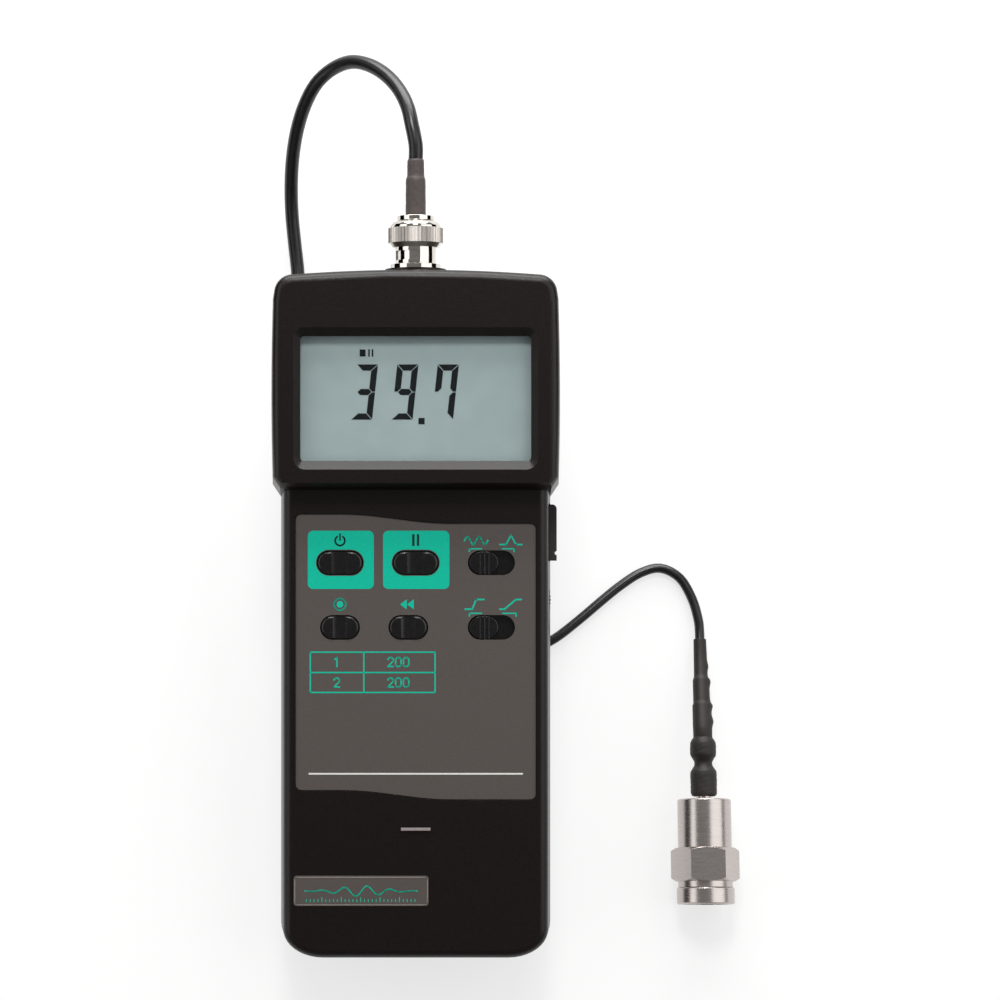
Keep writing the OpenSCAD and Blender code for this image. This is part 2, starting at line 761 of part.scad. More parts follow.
module data_jack() on_meter("#151515") difference() {
    union() {
        translate([jack_face - jack_pad - rest_gap - jack_body[0], jack_y - jack_body[1] / 2,
            board_top - board_t - jack_body[2] - seat_gap]) cube(jack_body);
        translate([jack_face - jack_pad - rest_gap - over, jack_y, jack_z]) rotate([0, 90, 0])
            cylinder(r = jack_nose_r, h = jack_pad + rest_gap - over);
    }
    translate([jack_face - jack_depth - over, jack_y, jack_z]) rotate([0, 90, 0])
        cylinder(r = jack_bore_r, h = jack_depth + 2 * over);
}
jack_depth = 14;

// Rubber flap that swings out about the rounded end near the display head
flap_nub_r = 2.6;
flap_nub_l = 0.7;
flap_gap = 0.2;
flap_x = jack_face + flap_gap;
flap_hinge = [flap_x + jack_cover_t / 2, jack_y + jack_cover_l / 2 - jack_cover_t / 2];
nail_r = 1;

module jack_cover() on_meter("#201c1b") {
    translate([0, 0, flap_z - jack_cover_h / 2]) difference() {
        union() {
            translate([flap_hinge[0], flap_hinge[1], 0]) cylinder(d = jack_cover_t, h = jack_cover_h);
            translate([flap_x, jack_y - jack_cover_l / 2, 0])
                cube([jack_cover_t, jack_cover_l - jack_cover_t / 2, jack_cover_h]);
        }
        translate([flap_x + jack_cover_t, jack_y - jack_cover_l / 2 + 2 * nail_r, -over])
            cylinder(r = nail_r / 2, h = jack_cover_h + 2 * over);
    }
    translate([flap_x - flap_nub_l, jack_y, jack_z]) rotate([0, 90, 0])
        cylinder(r = flap_nub_r, h = flap_nub_l + sliver);
}

trimmer_body = [6, 7, 2];
trimmer_shift = 1.1;
trimmer_shaft_r = 1.2;
shaft_gap = 0.05;
wheel_teeth = 36;
tooth_depth = 0.35;

module zero_trimmer() on_meter("#2a4d8f") translate([wheel_x, wheel_y, 0]) {
    translate([-trimmer_shift, 0, board_top - board_t - trimmer_body[2]]) block(trimmer_body);
    translate([0, 0, wheel_z - rest_gap]) cylinder(r = trimmer_shaft_r, h = board_top - board_t - wheel_z);
}

module zero_wheel() on_meter("#262222") translate([wheel_x, wheel_y, wheel_z]) difference() {
    linear_extrude(wheel_t) polygon([for (i = [0 : 2 * wheel_teeth - 1])
        let (a = i * 180 / wheel_teeth, r = wheel_r - (i % 2) * tooth_depth) [r * cos(a), r * sin(a)]]);
    translate([0, 0, -over]) cylinder(r = trimmer_shaft_r + shaft_gap, h = wheel_t + 2 * over);
}

battery_low = bay_low + rest_gap;
battery_z = door_t + rest_gap + door_recess;
battery_corner = 2;
terminal_pitch = 12.7;
terminal_r = [2.7, 4];

module battery() on_meter("#3d4043") {
    translate([0, battery_low, 0]) along_y(battery_z + battery_t / 2)
        linear_extrude(battery_l) rounded(battery_w, battery_t, battery_corner);
    for (side = [-1, 1]) translate([side * terminal_pitch / 2, battery_low + battery_l - sliver, 0])
        along_y(battery_z + battery_t / 2)
            cylinder(r = side < 0 ? terminal_r[0] : terminal_r[1], h = terminal_l + sliver);
}

snap_corner = 4;
module battery_snap() on_meter("#1f1f21")
    translate([0, battery_low + battery_l + terminal_l + seat_gap, 0]) along_y(battery_z + battery_t / 2)
        linear_extrude(snap_l) rounded(battery_w - 2 * bay_gap, battery_t * 0.72, snap_corner);

grip_pitch = 2.2;
grip_w = 1;
grip_depth = 0.5;
grip_l = 14;
latch = [9, 1.3, 2.6];

module battery_door() on_meter("#1b1716") difference() {
    intersection() {
        body_form(rear_slices, body_tail);
        translate([0, 0, door_recess]) union() {
            translate([0, 0, 0]) block_y([door_w, door_l, door_t]);
            translate([0, 0, lip_t]) block_y([door_w + 2 * rail_w, door_l, door_t - lip_t]);
        }
    }
    for (i = [0 : 4]) translate([0, door_l * 0.78 + i * grip_pitch, door_recess - over])
        block([grip_l, grip_w, grip_depth + over]);
}

stub_reach = stand_w / 2 + stand_gap + stub_l;
stand_window = [16, 1.2];

// The stand is built folded, with its leg along -Y from the hinge, and is then swung open
module tilt_stand() on_meter("#1b1716") translate([0, hinge_y, hinge_z]) rotate([stand_open, 0, 0]) {
    difference() {
        union() {
            translate([0, 0, 0]) rotate([0, 90, 0]) translate([0, 0, -stand_w / 2])
                cylinder(r = knuckle_r, h = stand_w);
            translate([0, -stand_l, -knuckle_r]) block_y([stand_w, stand_l, stand_t]);
            translate([-stand_w / 2, -stand_l, stand_toe_r - knuckle_r]) rotate([0, 90, 0])
                cylinder(r = stand_toe_r, h = stand_w);
            rotate([0, 90, 0]) translate([0, 0, -stub_reach]) cylinder(r = stub_r, h = 2 * stub_reach);
        }
        translate([0, -stand_l * 0.55, stand_t - knuckle_r - stand_window[1]])
            block([stand_window[0], stand_l * 0.5, knuckle_r + over]);
    }
}

// Coaxial socket, along +Y; heights are measured from the case's end
flange_t = 1.2;
socket_in = 9;
lug_y = 3.5;
lug_reach = 5.45;
core_r = 2.4;
core_gap = 0.05;
mouth_r = 4.1;
mouth_depth = 7.4;

module socket_frame() translate([0, case_l, 0]) along_y(bnc_z) children();

module bnc_socket() on_meter("#c9c7c4") socket_frame() difference() {
    union() {
        cylinder(r = flange_r, h = flange_t);
        translate([0, 0, -socket_in]) cylinder(r = barrel_r, h = socket_in + socket_l);
        for (side = [-1, 1]) translate([0, 0, lug_y]) rotate([side * 90, 0, 0])
            cylinder(r = lug_r, h = lug_reach);
    }
    translate([0, 0, socket_l - mouth_depth]) cylinder(r = mouth_r, h = mouth_depth + over);
    translate([0, 0, -socket_in - over])
        cylinder(r = core_r + core_gap, h = socket_in + socket_l + 2 * over);
}

nut_af = 13;
nut_t = 2.4;
module bnc_nut() on_meter("#b9b7b2") socket_frame()
    translate([0, 0, -pad_in - nut_t - seat_gap]) difference() {
        cylinder(d = nut_af / cos(30), h = nut_t, $fn = 6);
        translate([0, 0, -over]) cylinder(r = barrel_r + core_gap, h = nut_t + 2 * over);
    }

contact_r = 1.1;
contact_bore_r = 0.75;
module bnc_insulator() on_meter("#efeee8") socket_frame()
    translate([0, 0, -socket_in + over])
        ring(core_r, contact_r + core_gap, socket_in + socket_l - 3 * over);

module bnc_contact() on_meter("#d5b25a") socket_frame()
    translate([0, 0, -socket_in - 2 * over]) difference() {
        cylinder(r = contact_r, h = socket_in + socket_l - over);
        translate([0, 0, socket_in + over]) cylinder(r = contact_bore_r, h = socket_l + over);
    }

// Plug: sleeve inside the socket, flange and neck inside the coupling nut, collar behind it
sleeve_r = [2.6, 4];
plug_flange_r = 4.75;
plug_neck_r = 4.3;
collar_r = 4.8;
plug_flange_t = 0.35;
plug_gap = 0.1;
shoulder_out = 0.6;
nut_out = 2.2;
nut_shoulder = socket_l + shoulder_out;
nut_top = socket_l + nut_out;
collar_l = 1.3;
collar_top = nut_top + collar_l;
pin_r = 0.68;
// Running clearance of the coupling nut on the plug's neck
nut_gap = 0.08;

module plug_body() on_meter("#cfcdca") socket_frame() {
    translate([0, 0, socket_l - mouth_depth + over]) ring(sleeve_r[1], sleeve_r[0], mouth_depth);
    difference() {
        union() {
            translate([0, 0, socket_l + plug_gap]) cylinder(r = plug_flange_r, h = plug_flange_t);
            translate([0, 0, socket_l + plug_gap])
                cylinder(r = plug_neck_r, h = collar_top - socket_l - plug_gap);
            translate([0, 0, nut_top + plug_gap])
                cylinder(r = collar_r, h = collar_top - nut_top - plug_gap);
        }
        translate([0, 0, socket_l - over]) cylinder(r = core_r, h = 2 * over);
        translate([0, 0, socket_l]) cylinder(r = pin_r + core_gap, h = 3 * over);
    }
}

module plug_pin() on_meter("#d5b25a") socket_frame()
    translate([0, 0, socket_l - mouth_depth + 2 * over])
        cylinder(r = pin_r, h = mouth_depth + over - seat_gap);

skirt_low = 1.4;
skirt_top = 5.6;
skirt_bore_r = 4.95;
knurl_low = 6.8;
knurl_high = 10.7;
shoulder_r = 6.7;
bevel_r = 6;
slot_half = 1.2;
knurl_count = 48;
knurl_depth = 0.22;
knurl_root = knurl_r - 1.5 * knurl_depth;
lug_gap = 0.15;
slot_margin = asin((lug_r + lug_gap) / skirt_r);
shoulder_span = [15, 80];

module coupling_nut() on_meter("#d3d1ce") socket_frame() difference() {
    union() {
        rotate_extrude() polygon(concat(
            [[skirt_bore_r, skirt_low], [skirt_r, skirt_low], [skirt_r, skirt_top],
             [bevel_r, skirt_top], [knurl_root, knurl_low], [knurl_root, knurl_high],
             [shoulder_r, knurl_high]],
            arc([shoulder_r - (nut_top - knurl_high), knurl_high],
                [nut_top - knurl_high, nut_top - knurl_high],
                shoulder_span[0], shoulder_span[1], turn_steps),
            [[plug_neck_r + nut_gap, nut_top], [plug_neck_r + nut_gap, nut_shoulder],
             [skirt_bore_r, nut_shoulder]]));
        translate([0, 0, knurl_low]) linear_extrude(knurl_high - knurl_low) difference() {
            polygon([for (i = [0 : 2 * knurl_count - 1])
                let (a = i * 180 / knurl_count, r = knurl_r - (i % 2) * knurl_depth)
                [r * cos(a), r * sin(a)]]);
            circle(skirt_bore_r + over);
        }
    }
    for (turn = [0, 180]) rotate([0, 0, turn]) {
        translate([0, 0, lug_y - slot_half]) rotate([0, 0, 180 - slot_margin])
            rotate_extrude(angle = 90 + 2 * slot_margin) translate([skirt_bore_r - over, 0])
                square([skirt_r - skirt_bore_r + 2 * over, 2 * slot_half]);
        translate([-skirt_r, 0, skirt_low - over])
            block([skirt_r, 2 * slot_half, lug_y - skirt_low + over]);
    }
}

boot_r = [2.63, 2.2];
boot_step = 23.8;
boot_end = 28.8;
boot_core_r = 1.2;
module plug_boot() on_meter("#4a4240") socket_frame() translate([0, 0, collar_top]) {
    cylinder(r = boot_r[0], h = boot_step - collar_top);
    cylinder(r = boot_r[1], h = boot_end - collar_top);
}

// A tube swept along points, with a radius at each of them
function unit(v) = v / norm(v);
function heading(p, i) = unit(p[min(i + 1, len(p) - 1)] - p[max(i - 1, 0)]);
function square_to(u, t) = unit(u - (u * t) * t);
function sides_of(p, first) = [for (i = 0, u = square_to(first, heading(p, 0)); i < len(p);
    i = i + 1, u = i < len(p) ? square_to(u, heading(p, i)) : u) u];

module tube(p, r, sides, first = [0, 0, 1]) {
    u = sides_of(p, first);
    n = len(p);
    points = [for (i = [0 : n - 1], k = [0 : sides - 1])
        let (t = heading(p, i), a = (k + 0.5) * 360 / sides, q = is_list(r) ? r[i] : r)
        p[i] + q * (cos(a) * u[i] + sin(a) * cross(t, u[i]))];
    skin = [for (i = [0 : n - 2], k = [0 : sides - 1])
        let (a = i * sides + k, b = i * sides + (k + 1) % sides)
        each [[a, a + sides, b], [b, a + sides, b + sides]]];
    ends = [for (k = [1 : sides - 2]) each [[0, k, k + 1],
        [(n - 1) * sides, (n - 1) * sides + k + 1, (n - 1) * sides + k]]];
    polyhedron(points, concat(skin, ends));
}

function reaches(p) = [for (i = 1, s = norm(p[1] - p[0]); i < len(p);
    i = i + 1, s = i < len(p) ? s + norm(p[i] - p[i - 1]) : s) s];
function path_length(p) = len(p) < 2 ? 0 : reaches(p)[len(p) - 2];

cord_sides = 8;
loop_sides = 6;
loop_rings = 24;

// Routes on the table. The sleeved stretch leaves the plug's boot, droops in a loop and lies
// under the raised head. The lead goes on to the coil, beside the stand, and round to the sensor.
boot_mouth = leaned([0, case_l + boot_end, bnc_z]);
boot_axis = leaned([0, 1, 0]) - leaned([0, 0, 0]);
lead_z = lead_d / 2;
sleeved_route = concat([boot_mouth, boot_mouth + sleeved_d * boot_axis], [
    [-1, 212, 52.3], [-2.2, 217.5, 51.2], [-4.5, 223, 48.8], [-8, 228, 45.8], [-12.5, 232, 42.2],
    [-17.5, 234.3, 38], [-22.5, 233.8, 33.8], [-27, 231, 29.8], [-30.3, 226.5, 25], [-32.6, 221, 19.8],
    [-34, 215, 14.2], [-34.6, 208.5, 9], [-34.5, 201.5, 5.2], [-33.8, 194, 3.2], [-33, 187, 2.2],
    [-32.5, 181, 2], [-31, 175, 2], [-28.8, 170.9, 2], [-27, 168.8, 2]]);
joint_route = [[-27, 168.8, 2], [-26.2, 167.87, 2], [-24, 166.2, 1.9], [-21.2, 164.9, 1.8],
    [-18.6, 164.1, 1.6], [-17.6, 163.9, 1.6]];
joint_radii = [2.2, 2.2, 2.1, 1.7, 1.5, 1.5];
bridge_list = [[-17.6, 163.9, 1.6], [-14.8, 163.34, 1.6], [-9, 163, 1.3], [-3, 163, 1.3], [3, 162.6, 1.3],
    [9.5, 161, 1.4], [15, 157.4, 1.6], [19, 152, 1.8], [20.9, 146, 2]];
run_list = [[21.4, 129.5, 10.3], [21.5, 123.5, 8.4], [21.7, 117.5, 6.2], [22, 111.5, 4.2],
    [22.3, 105.5, 2.6], [22.5, 99.5, 1.7], [22.5, 93.5, 1.3], [22.8, 88, 1.3], [24.8, 83.8, 1.3],
    [28.5, 81, 1.3], [33, 80.8, 1.3], [38, 83, 1.3], [44.5, 88, 1.3], [51, 93.5, 1.3],
    [56, 97.5, 1.3], [61.5, 101, 1.3], [67, 102.3, 1.3], [72.2, 99.6, 1.3], [75.5, 93.8, 1.4],
    [77, 88.2, 1.65]];

// The coil: wound clockwise seen from above, from the table up, in and out again
tie_t = 0.6;
coil_at = [3, 139];
tie_slack = 0.1;
coil_low = lead_z + tie_t + tie_slack;
coil_swing = layer_turns * coil_pitch / 2;
function swing(t) = let (part = t / layer_turns, way = part % 2) abs(way < 1 ? way : 2 - way);
function rise(t) =
    let (layer = min(layers - 1, max(0, round(t / layer_turns))),
         into = (t - layer * layer_turns) * 2)
    layer == 0 || t >= (layers - 1) * layer_turns + 0.25
    ? floor(min(t, layers * layer_turns - 0.1) / layer_turns)
    : layer - 1 + ease(into + 0.5);
function coil_point(t) =
    let (r = coil_r + coil_swing * (1 - 2 * swing(t)), a = -360 * t)
    [coil_at[0] + r * cos(a), coil_at[1] + r * sin(a), coil_low + coil_pitch * rise(t)];
coil_turns = layers * layer_turns;
coil_steps = coil_turns * loop_rings;
coil_start = coil_point(0) + [0, lead_d, 0];
coil_end = coil_point(coil_turns) - [0, lead_d, 0];
coil_route = concat([coil_start], [for (i = [0 : coil_steps]) coil_point(i / loop_rings)], [coil_end]);
coil_gap = min([for (i = [0 : len(coil_route) - 1], k = [i + loop_rings / 2 : 1 : len(coil_route) - 1])
    norm(coil_route[i] - coil_route[k])]) - lead_d;

// Sensor, lying on one flat of its hexagon
sensor_z = hex_af / 2;
base_low = sensor_y;
hex_foot = 1.6;
hex_low = base_low + base_l + hex_foot;
hex_high = hex_low + hex_l;
can_high = hex_high + can_l;
neck_l = 0.85;
connector_low = can_high + neck_l;
connector_l = 15.8;
sleeve_low = connector_low + connector_l;
sleeve_steps = [[0, 0, 0], [0, 1.5, 0], [0, 3, -0.3], [0.1, 8.9, -2], [0.1, 9, -2], [0.2, 15.9, -3.9],
    [0.2, 16, -3.9], [0.3, 22, -5.3], [0.3, 27, -5.9]];
sleeve_route = [for (p = sleeve_steps) [sensor_x, sleeve_low, sensor_z] + p];
sleeve_radii = [2.55, 2.6, 2.6, 2.55, 2.25, 2.25, 1.8, 1.72, 1.7];
sleeve_mouth = sleeve_route[len(sleeve_route) - 1];
coil_lead_in = [0, 1, 0];
bridge_route = concat(bridge_list, [coil_start + coil_lead_in, coil_start]);
mouth_lead_in = [0, 2.5, -0.3];
run_route = concat([coil_end, coil_end - coil_lead_in], run_list,
    [sleeve_mouth + mouth_lead_in, sleeve_mouth]);

echo(sleeved_length = path_length(sleeved_route));
echo(lead_length = path_length(joint_route) + path_length(bridge_route) + path_length(coil_route)
    + path_length(run_route));
echo(least_coil_gap = coil_gap);

module lead_sleeved() on_table("#151314") tube(sleeved_route, sleeved_d / 2, cord_sides);
module sleeve_end() on_table("#2a2525") tube(joint_route, joint_radii, cord_sides);
module lead_bridge() on_table("#151314") tube(bridge_route, lead_z, cord_sides);
module lead_coil() on_table("#151314") tube(coil_route, lead_z, loop_sides);
module lead_run() on_table("#151314") tube(run_route, lead_z, cord_sides);
module sensor_sleeve() on_table("#3b3332") tube(sleeve_route, sleeve_radii, 12);

tie_w = 5;
tie_gap = 0.4;
module coil_tie() on_table("#242021") {
    reach = [2 * coil_swing + lead_d + 2 * tie_gap, (layers - 1) * coil_pitch + lead_d];
    translate([coil_at[0] - coil_r, coil_at[1] + tie_w / 2, coil_low - lead_z + reach[1] / 2])
        rotate([90, 0, 0]) linear_extrude(tie_w) difference() {
            rounded(reach[0] + 2 * tie_t, reach[1] + 2 * tie_t + tie_slack, 2 * tie_t);
            rounded(reach[0], reach[1] + tie_slack, tie_t);
        }
}

// Turned pieces of the sensor, along +Y
module sensor_frame() translate([sensor_x, 0, sensor_z]) rotate([-90, 0, 0]) children();

// Its boot has two bulges with a waist: their radii, heights, rounds and spans of turn
connector_r = [3.5, 2.4, 2.55];
bulge_at = [0.8, 6.2, 11.6, 14.2];
bulge_rounds = [[0.8, 0.8], [1.4, 1.2], [1.4, 1.4], [1.2, 1.6]];
bulge_spans = [[270, 360], [0, 60], [300, 360], [0, 70]];
bulge_steps = 3;
waist_at = [8.2, 9.2];
function bulge(i) = arc([connector_r[0] - bulge_rounds[i][0], bulge_at[i]], bulge_rounds[i],
    bulge_spans[i][0], bulge_spans[i][1], bulge_steps);
module connector_boot() on_table("#3b3332") sensor_frame() translate([0, 0, connector_low])
    rotate_extrude() polygon(concat([[0, 0]], bulge(0), bulge(1),
        [for (z = waist_at) [connector_r[1], z]], bulge(2), bulge(3),
        [[connector_r[2], connector_l], [0, connector_l]]));

can_wall = 1;
neck_r = 2;
can_edge = 0.3;
module sensor_can() on_table("#c4beb8") sensor_frame() translate([0, 0, hex_high + seat_gap]) difference() {
    union() {
        rotate_extrude() polygon([[0, 0], [can_r, 0], [can_r, can_l - can_edge - seat_gap],
            [can_r - can_edge, can_l - seat_gap], [0, can_l - seat_gap]]);
        cylinder(r = neck_r, h = can_l + neck_l - seat_gap);
    }
    translate([0, 0, -over]) cylinder(r = can_r - can_wall, h = can_l - can_wall + over);
}

hex_edge = 0.8;
post_r = 2;
post_l = 8.5;
foot_r = 7.25;
stud_r = 2.42;
stud_gap = 0.06;
stud_depth = 5.2;
module sensor_base() on_table("#bcb6b0") sensor_frame() difference() {
    union() {
        intersection() {
            translate([0, 0, hex_low]) cylinder(r = hex_r, h = hex_l, $fn = 6);
            translate([0, 0, hex_low]) rotate_extrude() polygon([[0, 0], [hex_af / 2, 0], [hex_r, hex_edge],
                [hex_r, hex_l - hex_edge], [hex_af / 2, hex_l], [0, hex_l]]);
        }
        translate([0, 0, base_low + base_l + seat_gap])
            cylinder(r = foot_r, h = hex_low - base_low - base_l);
        translate([0, 0, hex_high - sliver]) cylinder(r = post_r, h = post_l);
    }
    translate([0, 0, base_low + base_l]) cylinder(r = stud_r + stud_gap, h = stud_depth + over);
}

piezo_r = 4.6;
piezo_t = 2.4;
mass_r = 5.1;
mass_l = 5.5;
module piezo_discs() on_table("#d9c98f") sensor_frame()
    translate([0, 0, hex_high + seat_gap]) ring(piezo_r, post_r + core_gap, piezo_t);

module seismic_mass() on_table("#8b8f94") sensor_frame()
    translate([0, 0, hex_high + piezo_t + 2 * seat_gap]) ring(mass_r, post_r + core_gap, mass_l);

back_plate = 2.1;
module mount_stud() on_table("#b5b1ab") sensor_frame()
    translate([0, 0, base_low + base_l - back_plate + seat_gap])
        cylinder(r = stud_r, h = back_plate + stud_depth - over);

module magnet_base() on_table("#bdb7b1") sensor_frame() translate([0, 0, base_low]) difference() {
    rotate_extrude() polygon([[0, 0], [base_r - can_edge, 0], [base_r, can_edge],
        [base_r, base_l - can_edge], [base_r - can_edge, base_l], [0, base_l]]);
    translate([0, 0, -over]) cylinder(r = magnet_r + core_gap, h = base_l - back_plate - seat_gap + over);
    translate([0, 0, -over]) cylinder(r = stud_r + stud_gap, h = base_l + 2 * over);
}
magnet_r = 6.1;
magnet_sink = 0.2;

module base_magnet() on_table("#55585c") sensor_frame()
    translate([0, 0, base_low + magnet_sink])
        cylinder(r = magnet_r, h = base_l - back_plate - magnet_sink - 2 * seat_gap);

front_case();
rear_case();
case_screws();
face_plate();
label_plate();
display_window();
lcd_panel();
lcd_holder();
zebra_strips();
main_board();
board_screws();
key_switches();
slide_switches();
power_button();
hold_button();
record_button();
recall_button();
detector_slider();
range_slider();
data_jack();
jack_cover();
zero_trimmer();
zero_wheel();
battery();
battery_snap();
battery_door();
tilt_stand();
bnc_socket();
bnc_nut();
bnc_insulator();
bnc_contact();
plug_body();
plug_pin();
coupling_nut();
plug_boot();
lead_sleeved();
sleeve_end();
lead_bridge();
lead_coil();
coil_tie();
lead_run();
sensor_sleeve();
connector_boot();
sensor_can();
sensor_base();
piezo_discs();
seismic_mass();
mount_stud();
magnet_base();
base_magnet();
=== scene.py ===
"""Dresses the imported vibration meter: finishes, printed marks, display, cords and sensor boots.

Places are written in millimetres, either on the meter, flat with y from its foot end and z from
its back, or on the table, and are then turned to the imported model's metres.
"""
import json
import math

import bmesh
import bpy
from mathutils import Matrix, Vector


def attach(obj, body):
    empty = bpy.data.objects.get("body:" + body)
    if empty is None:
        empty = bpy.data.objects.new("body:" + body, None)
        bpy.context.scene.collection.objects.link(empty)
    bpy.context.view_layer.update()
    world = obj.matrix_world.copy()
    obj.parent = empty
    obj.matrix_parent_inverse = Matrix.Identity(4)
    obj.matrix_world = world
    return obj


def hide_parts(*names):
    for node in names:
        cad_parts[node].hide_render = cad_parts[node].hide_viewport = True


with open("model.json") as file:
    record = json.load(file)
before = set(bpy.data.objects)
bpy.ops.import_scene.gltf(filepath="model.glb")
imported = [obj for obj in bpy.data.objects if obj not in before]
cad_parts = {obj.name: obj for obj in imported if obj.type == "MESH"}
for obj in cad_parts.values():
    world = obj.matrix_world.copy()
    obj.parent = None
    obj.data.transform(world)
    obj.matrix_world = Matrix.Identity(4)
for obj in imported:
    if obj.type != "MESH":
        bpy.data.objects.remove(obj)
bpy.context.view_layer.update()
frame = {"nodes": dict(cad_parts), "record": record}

# The meter's place, as the solids have it
ORIGIN = (24.011067, 91.409488)
PIVOT_Y = 3.4
LEAN = math.radians(10)
MILLIMETRE = 0.001
ON_STAND = (
    Matrix.Translation((0, PIVOT_Y, 0))
    @ Matrix.Rotation(LEAN, 4, "X")
    @ Matrix.Translation((0, -PIVOT_Y, 0))
)
ON_TABLE = Matrix.Scale(MILLIMETRE, 4) @ Matrix.Translation((-ORIGIN[0], -ORIGIN[1], 0))
ON_METER = ON_TABLE @ ON_STAND

# Camera: the photograph was taken square to the meter's face
EYE = (0, 119.7, 709.4)
LENS = 95.4
FILM_WIDTH = 36
SIDE_SHIFT = 0.0843
NEAREST = 0.01

camera_data = bpy.data.cameras.new("camera")
camera_data.lens = LENS
camera_data.sensor_width = FILM_WIDTH
camera_data.shift_x = SIDE_SHIFT
camera_data.clip_start = NEAREST
camera = bpy.data.objects.new("camera", camera_data)
camera.matrix_world = Matrix.Translation(ON_METER @ Vector(EYE)) @ Matrix.Rotation(LEAN, 4, "X")
bpy.context.scene.collection.objects.link(camera)
bpy.context.scene.camera = camera
bpy.context.scene.view_settings.view_transform = "Standard"


def colour(code):
    """An sRGB hex value as linear red, green and blue, with full alpha."""
    channels = [int(code[i : i + 2], 16) / 255 for i in (1, 3, 5)]
    linear = [c / 12.92 if c <= 0.04045 else ((c + 0.055) / 1.055) ** 2.4 for c in channels]
    return (*linear, 1.0)


def add(tree, kind, inputs=None, **settings):
    """Adds a node. An input's value is a number, a colour or another node's output."""
    made = tree.nodes.new(kind)
    for name, value in settings.items():
        setattr(made, name, value)
    for name, value in (inputs or {}).items():
        if isinstance(value, bpy.types.NodeSocket):
            tree.links.new(value, made.inputs[name])
        else:
            made.inputs[name].default_value = value
    return made


# Light
def softbox(name, place, aim, size, power):
    """A soft lamp over the table, in metres and watts."""
    data = bpy.data.lights.new(name, "AREA")
    data.shape = "RECTANGLE"
    data.size, data.size_y = size
    data.energy = power
    lamp = bpy.data.objects.new(name, data)
    way = Vector(place) - Vector(aim)
    lamp.matrix_world = Matrix.Translation(place) @ way.to_track_quat("Z", "Y").to_matrix().to_4x4()
    bpy.context.scene.collection.objects.link(lamp)


# The shadow over the display shows a small key lamp high past the connector end, and the lit upper
# rims a large softbox under it. Two long ones beside the table make the streaks along the metal
softbox("key_lamp", place=(-0.04, 0.46, 0.7), aim=(0, 0.05, 0.03), size=(0.2, 0.2), power=3.0)
softbox("end_softbox", place=(0, 0.76, 0.3), aim=(0, 0.05, 0.02), size=(0.9, 0.46), power=10.5)
softbox("left_softbox", place=(-0.6, 0.05, 0.4), aim=(0, 0, 0.02), size=(0.9, 0.4), power=1.6)
softbox("right_softbox", place=(0.56, 0.05, 0.5), aim=(0.03, 0, 0.02), size=(0.8, 0.72), power=2.5)

STUDIO_LIGHT = 0.19

world = bpy.data.worlds.new("studio")
bpy.context.scene.world = world
world.use_nodes = True
studio_tree = world.node_tree
studio_tree.nodes.clear()
ray = add(studio_tree, "ShaderNodeLightPath")
studio = add(studio_tree, "ShaderNodeBackground", {"Color": colour("#ffffff"), "Strength": STUDIO_LIGHT})
backdrop = add(studio_tree, "ShaderNodeBackground", {"Color": colour("#ffffff"), "Strength": 1.0})
surroundings = add(studio_tree, "ShaderNodeMixShader", {
    0: ray.outputs["Is Camera Ray"], 1: studio.outputs[0], 2: backdrop.outputs[0]})
add(studio_tree, "ShaderNodeOutputWorld", {"Surface": surroundings.outputs[0]})


def new_material(name):
    """A material with nothing in it yet."""
    material = bpy.data.materials.new(name)
    material.use_nodes = True
    material.node_tree.nodes.clear()
    return material


# Table and cards, in metres
PAPER_REACH = 4
PAPER_GLOW = 0.7
LIT_REACH = (0.3, 0.9)


def table_top():
    """White paper sweep: it shows white in the view and keeps the object's shadow."""
    mesh = bpy.data.meshes.new("table_top")
    bm = bmesh.new()
    bmesh.ops.create_grid(bm, x_segments=1, y_segments=1, size=PAPER_REACH)
    bm.to_mesh(mesh)
    bm.free()
    top = bpy.data.objects.new("table_top", mesh)
    bpy.context.scene.collection.objects.link(top)
    material = new_material("white_paper")
    tree = material.node_tree
    seen = add(tree, "ShaderNodeLightPath")
    paper = add(tree, "ShaderNodeBsdfDiffuse", {"Color": colour("#f4f4f3")})
    glow = add(tree, "ShaderNodeEmission", {"Color": colour("#ffffff"), "Strength": 1.0})
    mirrored = add(tree, "ShaderNodeMath", {
        0: seen.outputs["Is Camera Ray"], 1: seen.outputs["Is Glossy Ray"]}, operation="MAXIMUM")
    through = add(tree, "ShaderNodeMath", {
        0: mirrored.outputs[0], 1: seen.outputs["Is Transmission Ray"]}, operation="MAXIMUM")
    near = add(tree, "ShaderNodeMath", {0: through.outputs[0], 1: PAPER_GLOW}, operation="MULTIPLY")
    # Out of the lamps' reach the view sees the paper as white as the backdrop
    place = add(tree, "ShaderNodeTexCoord")
    away = add(tree, "ShaderNodeVectorMath", {0: place.outputs["Object"]}, operation="LENGTH")
    far = add(tree, "ShaderNodeMapRange", {
        "Value": away.outputs["Value"], "From Min": LIT_REACH[0], "From Max": LIT_REACH[1],
        "To Min": 0.0, "To Max": 1 - PAPER_GLOW})
    far_seen = add(tree, "ShaderNodeMath", {
        0: far.outputs[0], 1: seen.outputs["Is Camera Ray"]}, operation="MULTIPLY")
    share = add(tree, "ShaderNodeMath", {0: near.outputs[0], 1: far_seen.outputs[0]}, operation="ADD")
    mix = add(tree, "ShaderNodeMixShader", {0: share.outputs[0], 1: paper.outputs[0], 2: glow.outputs[0]})
    add(tree, "ShaderNodeOutputMaterial", {"Surface": mix.outputs[0]})
    mesh.materials.append(material)


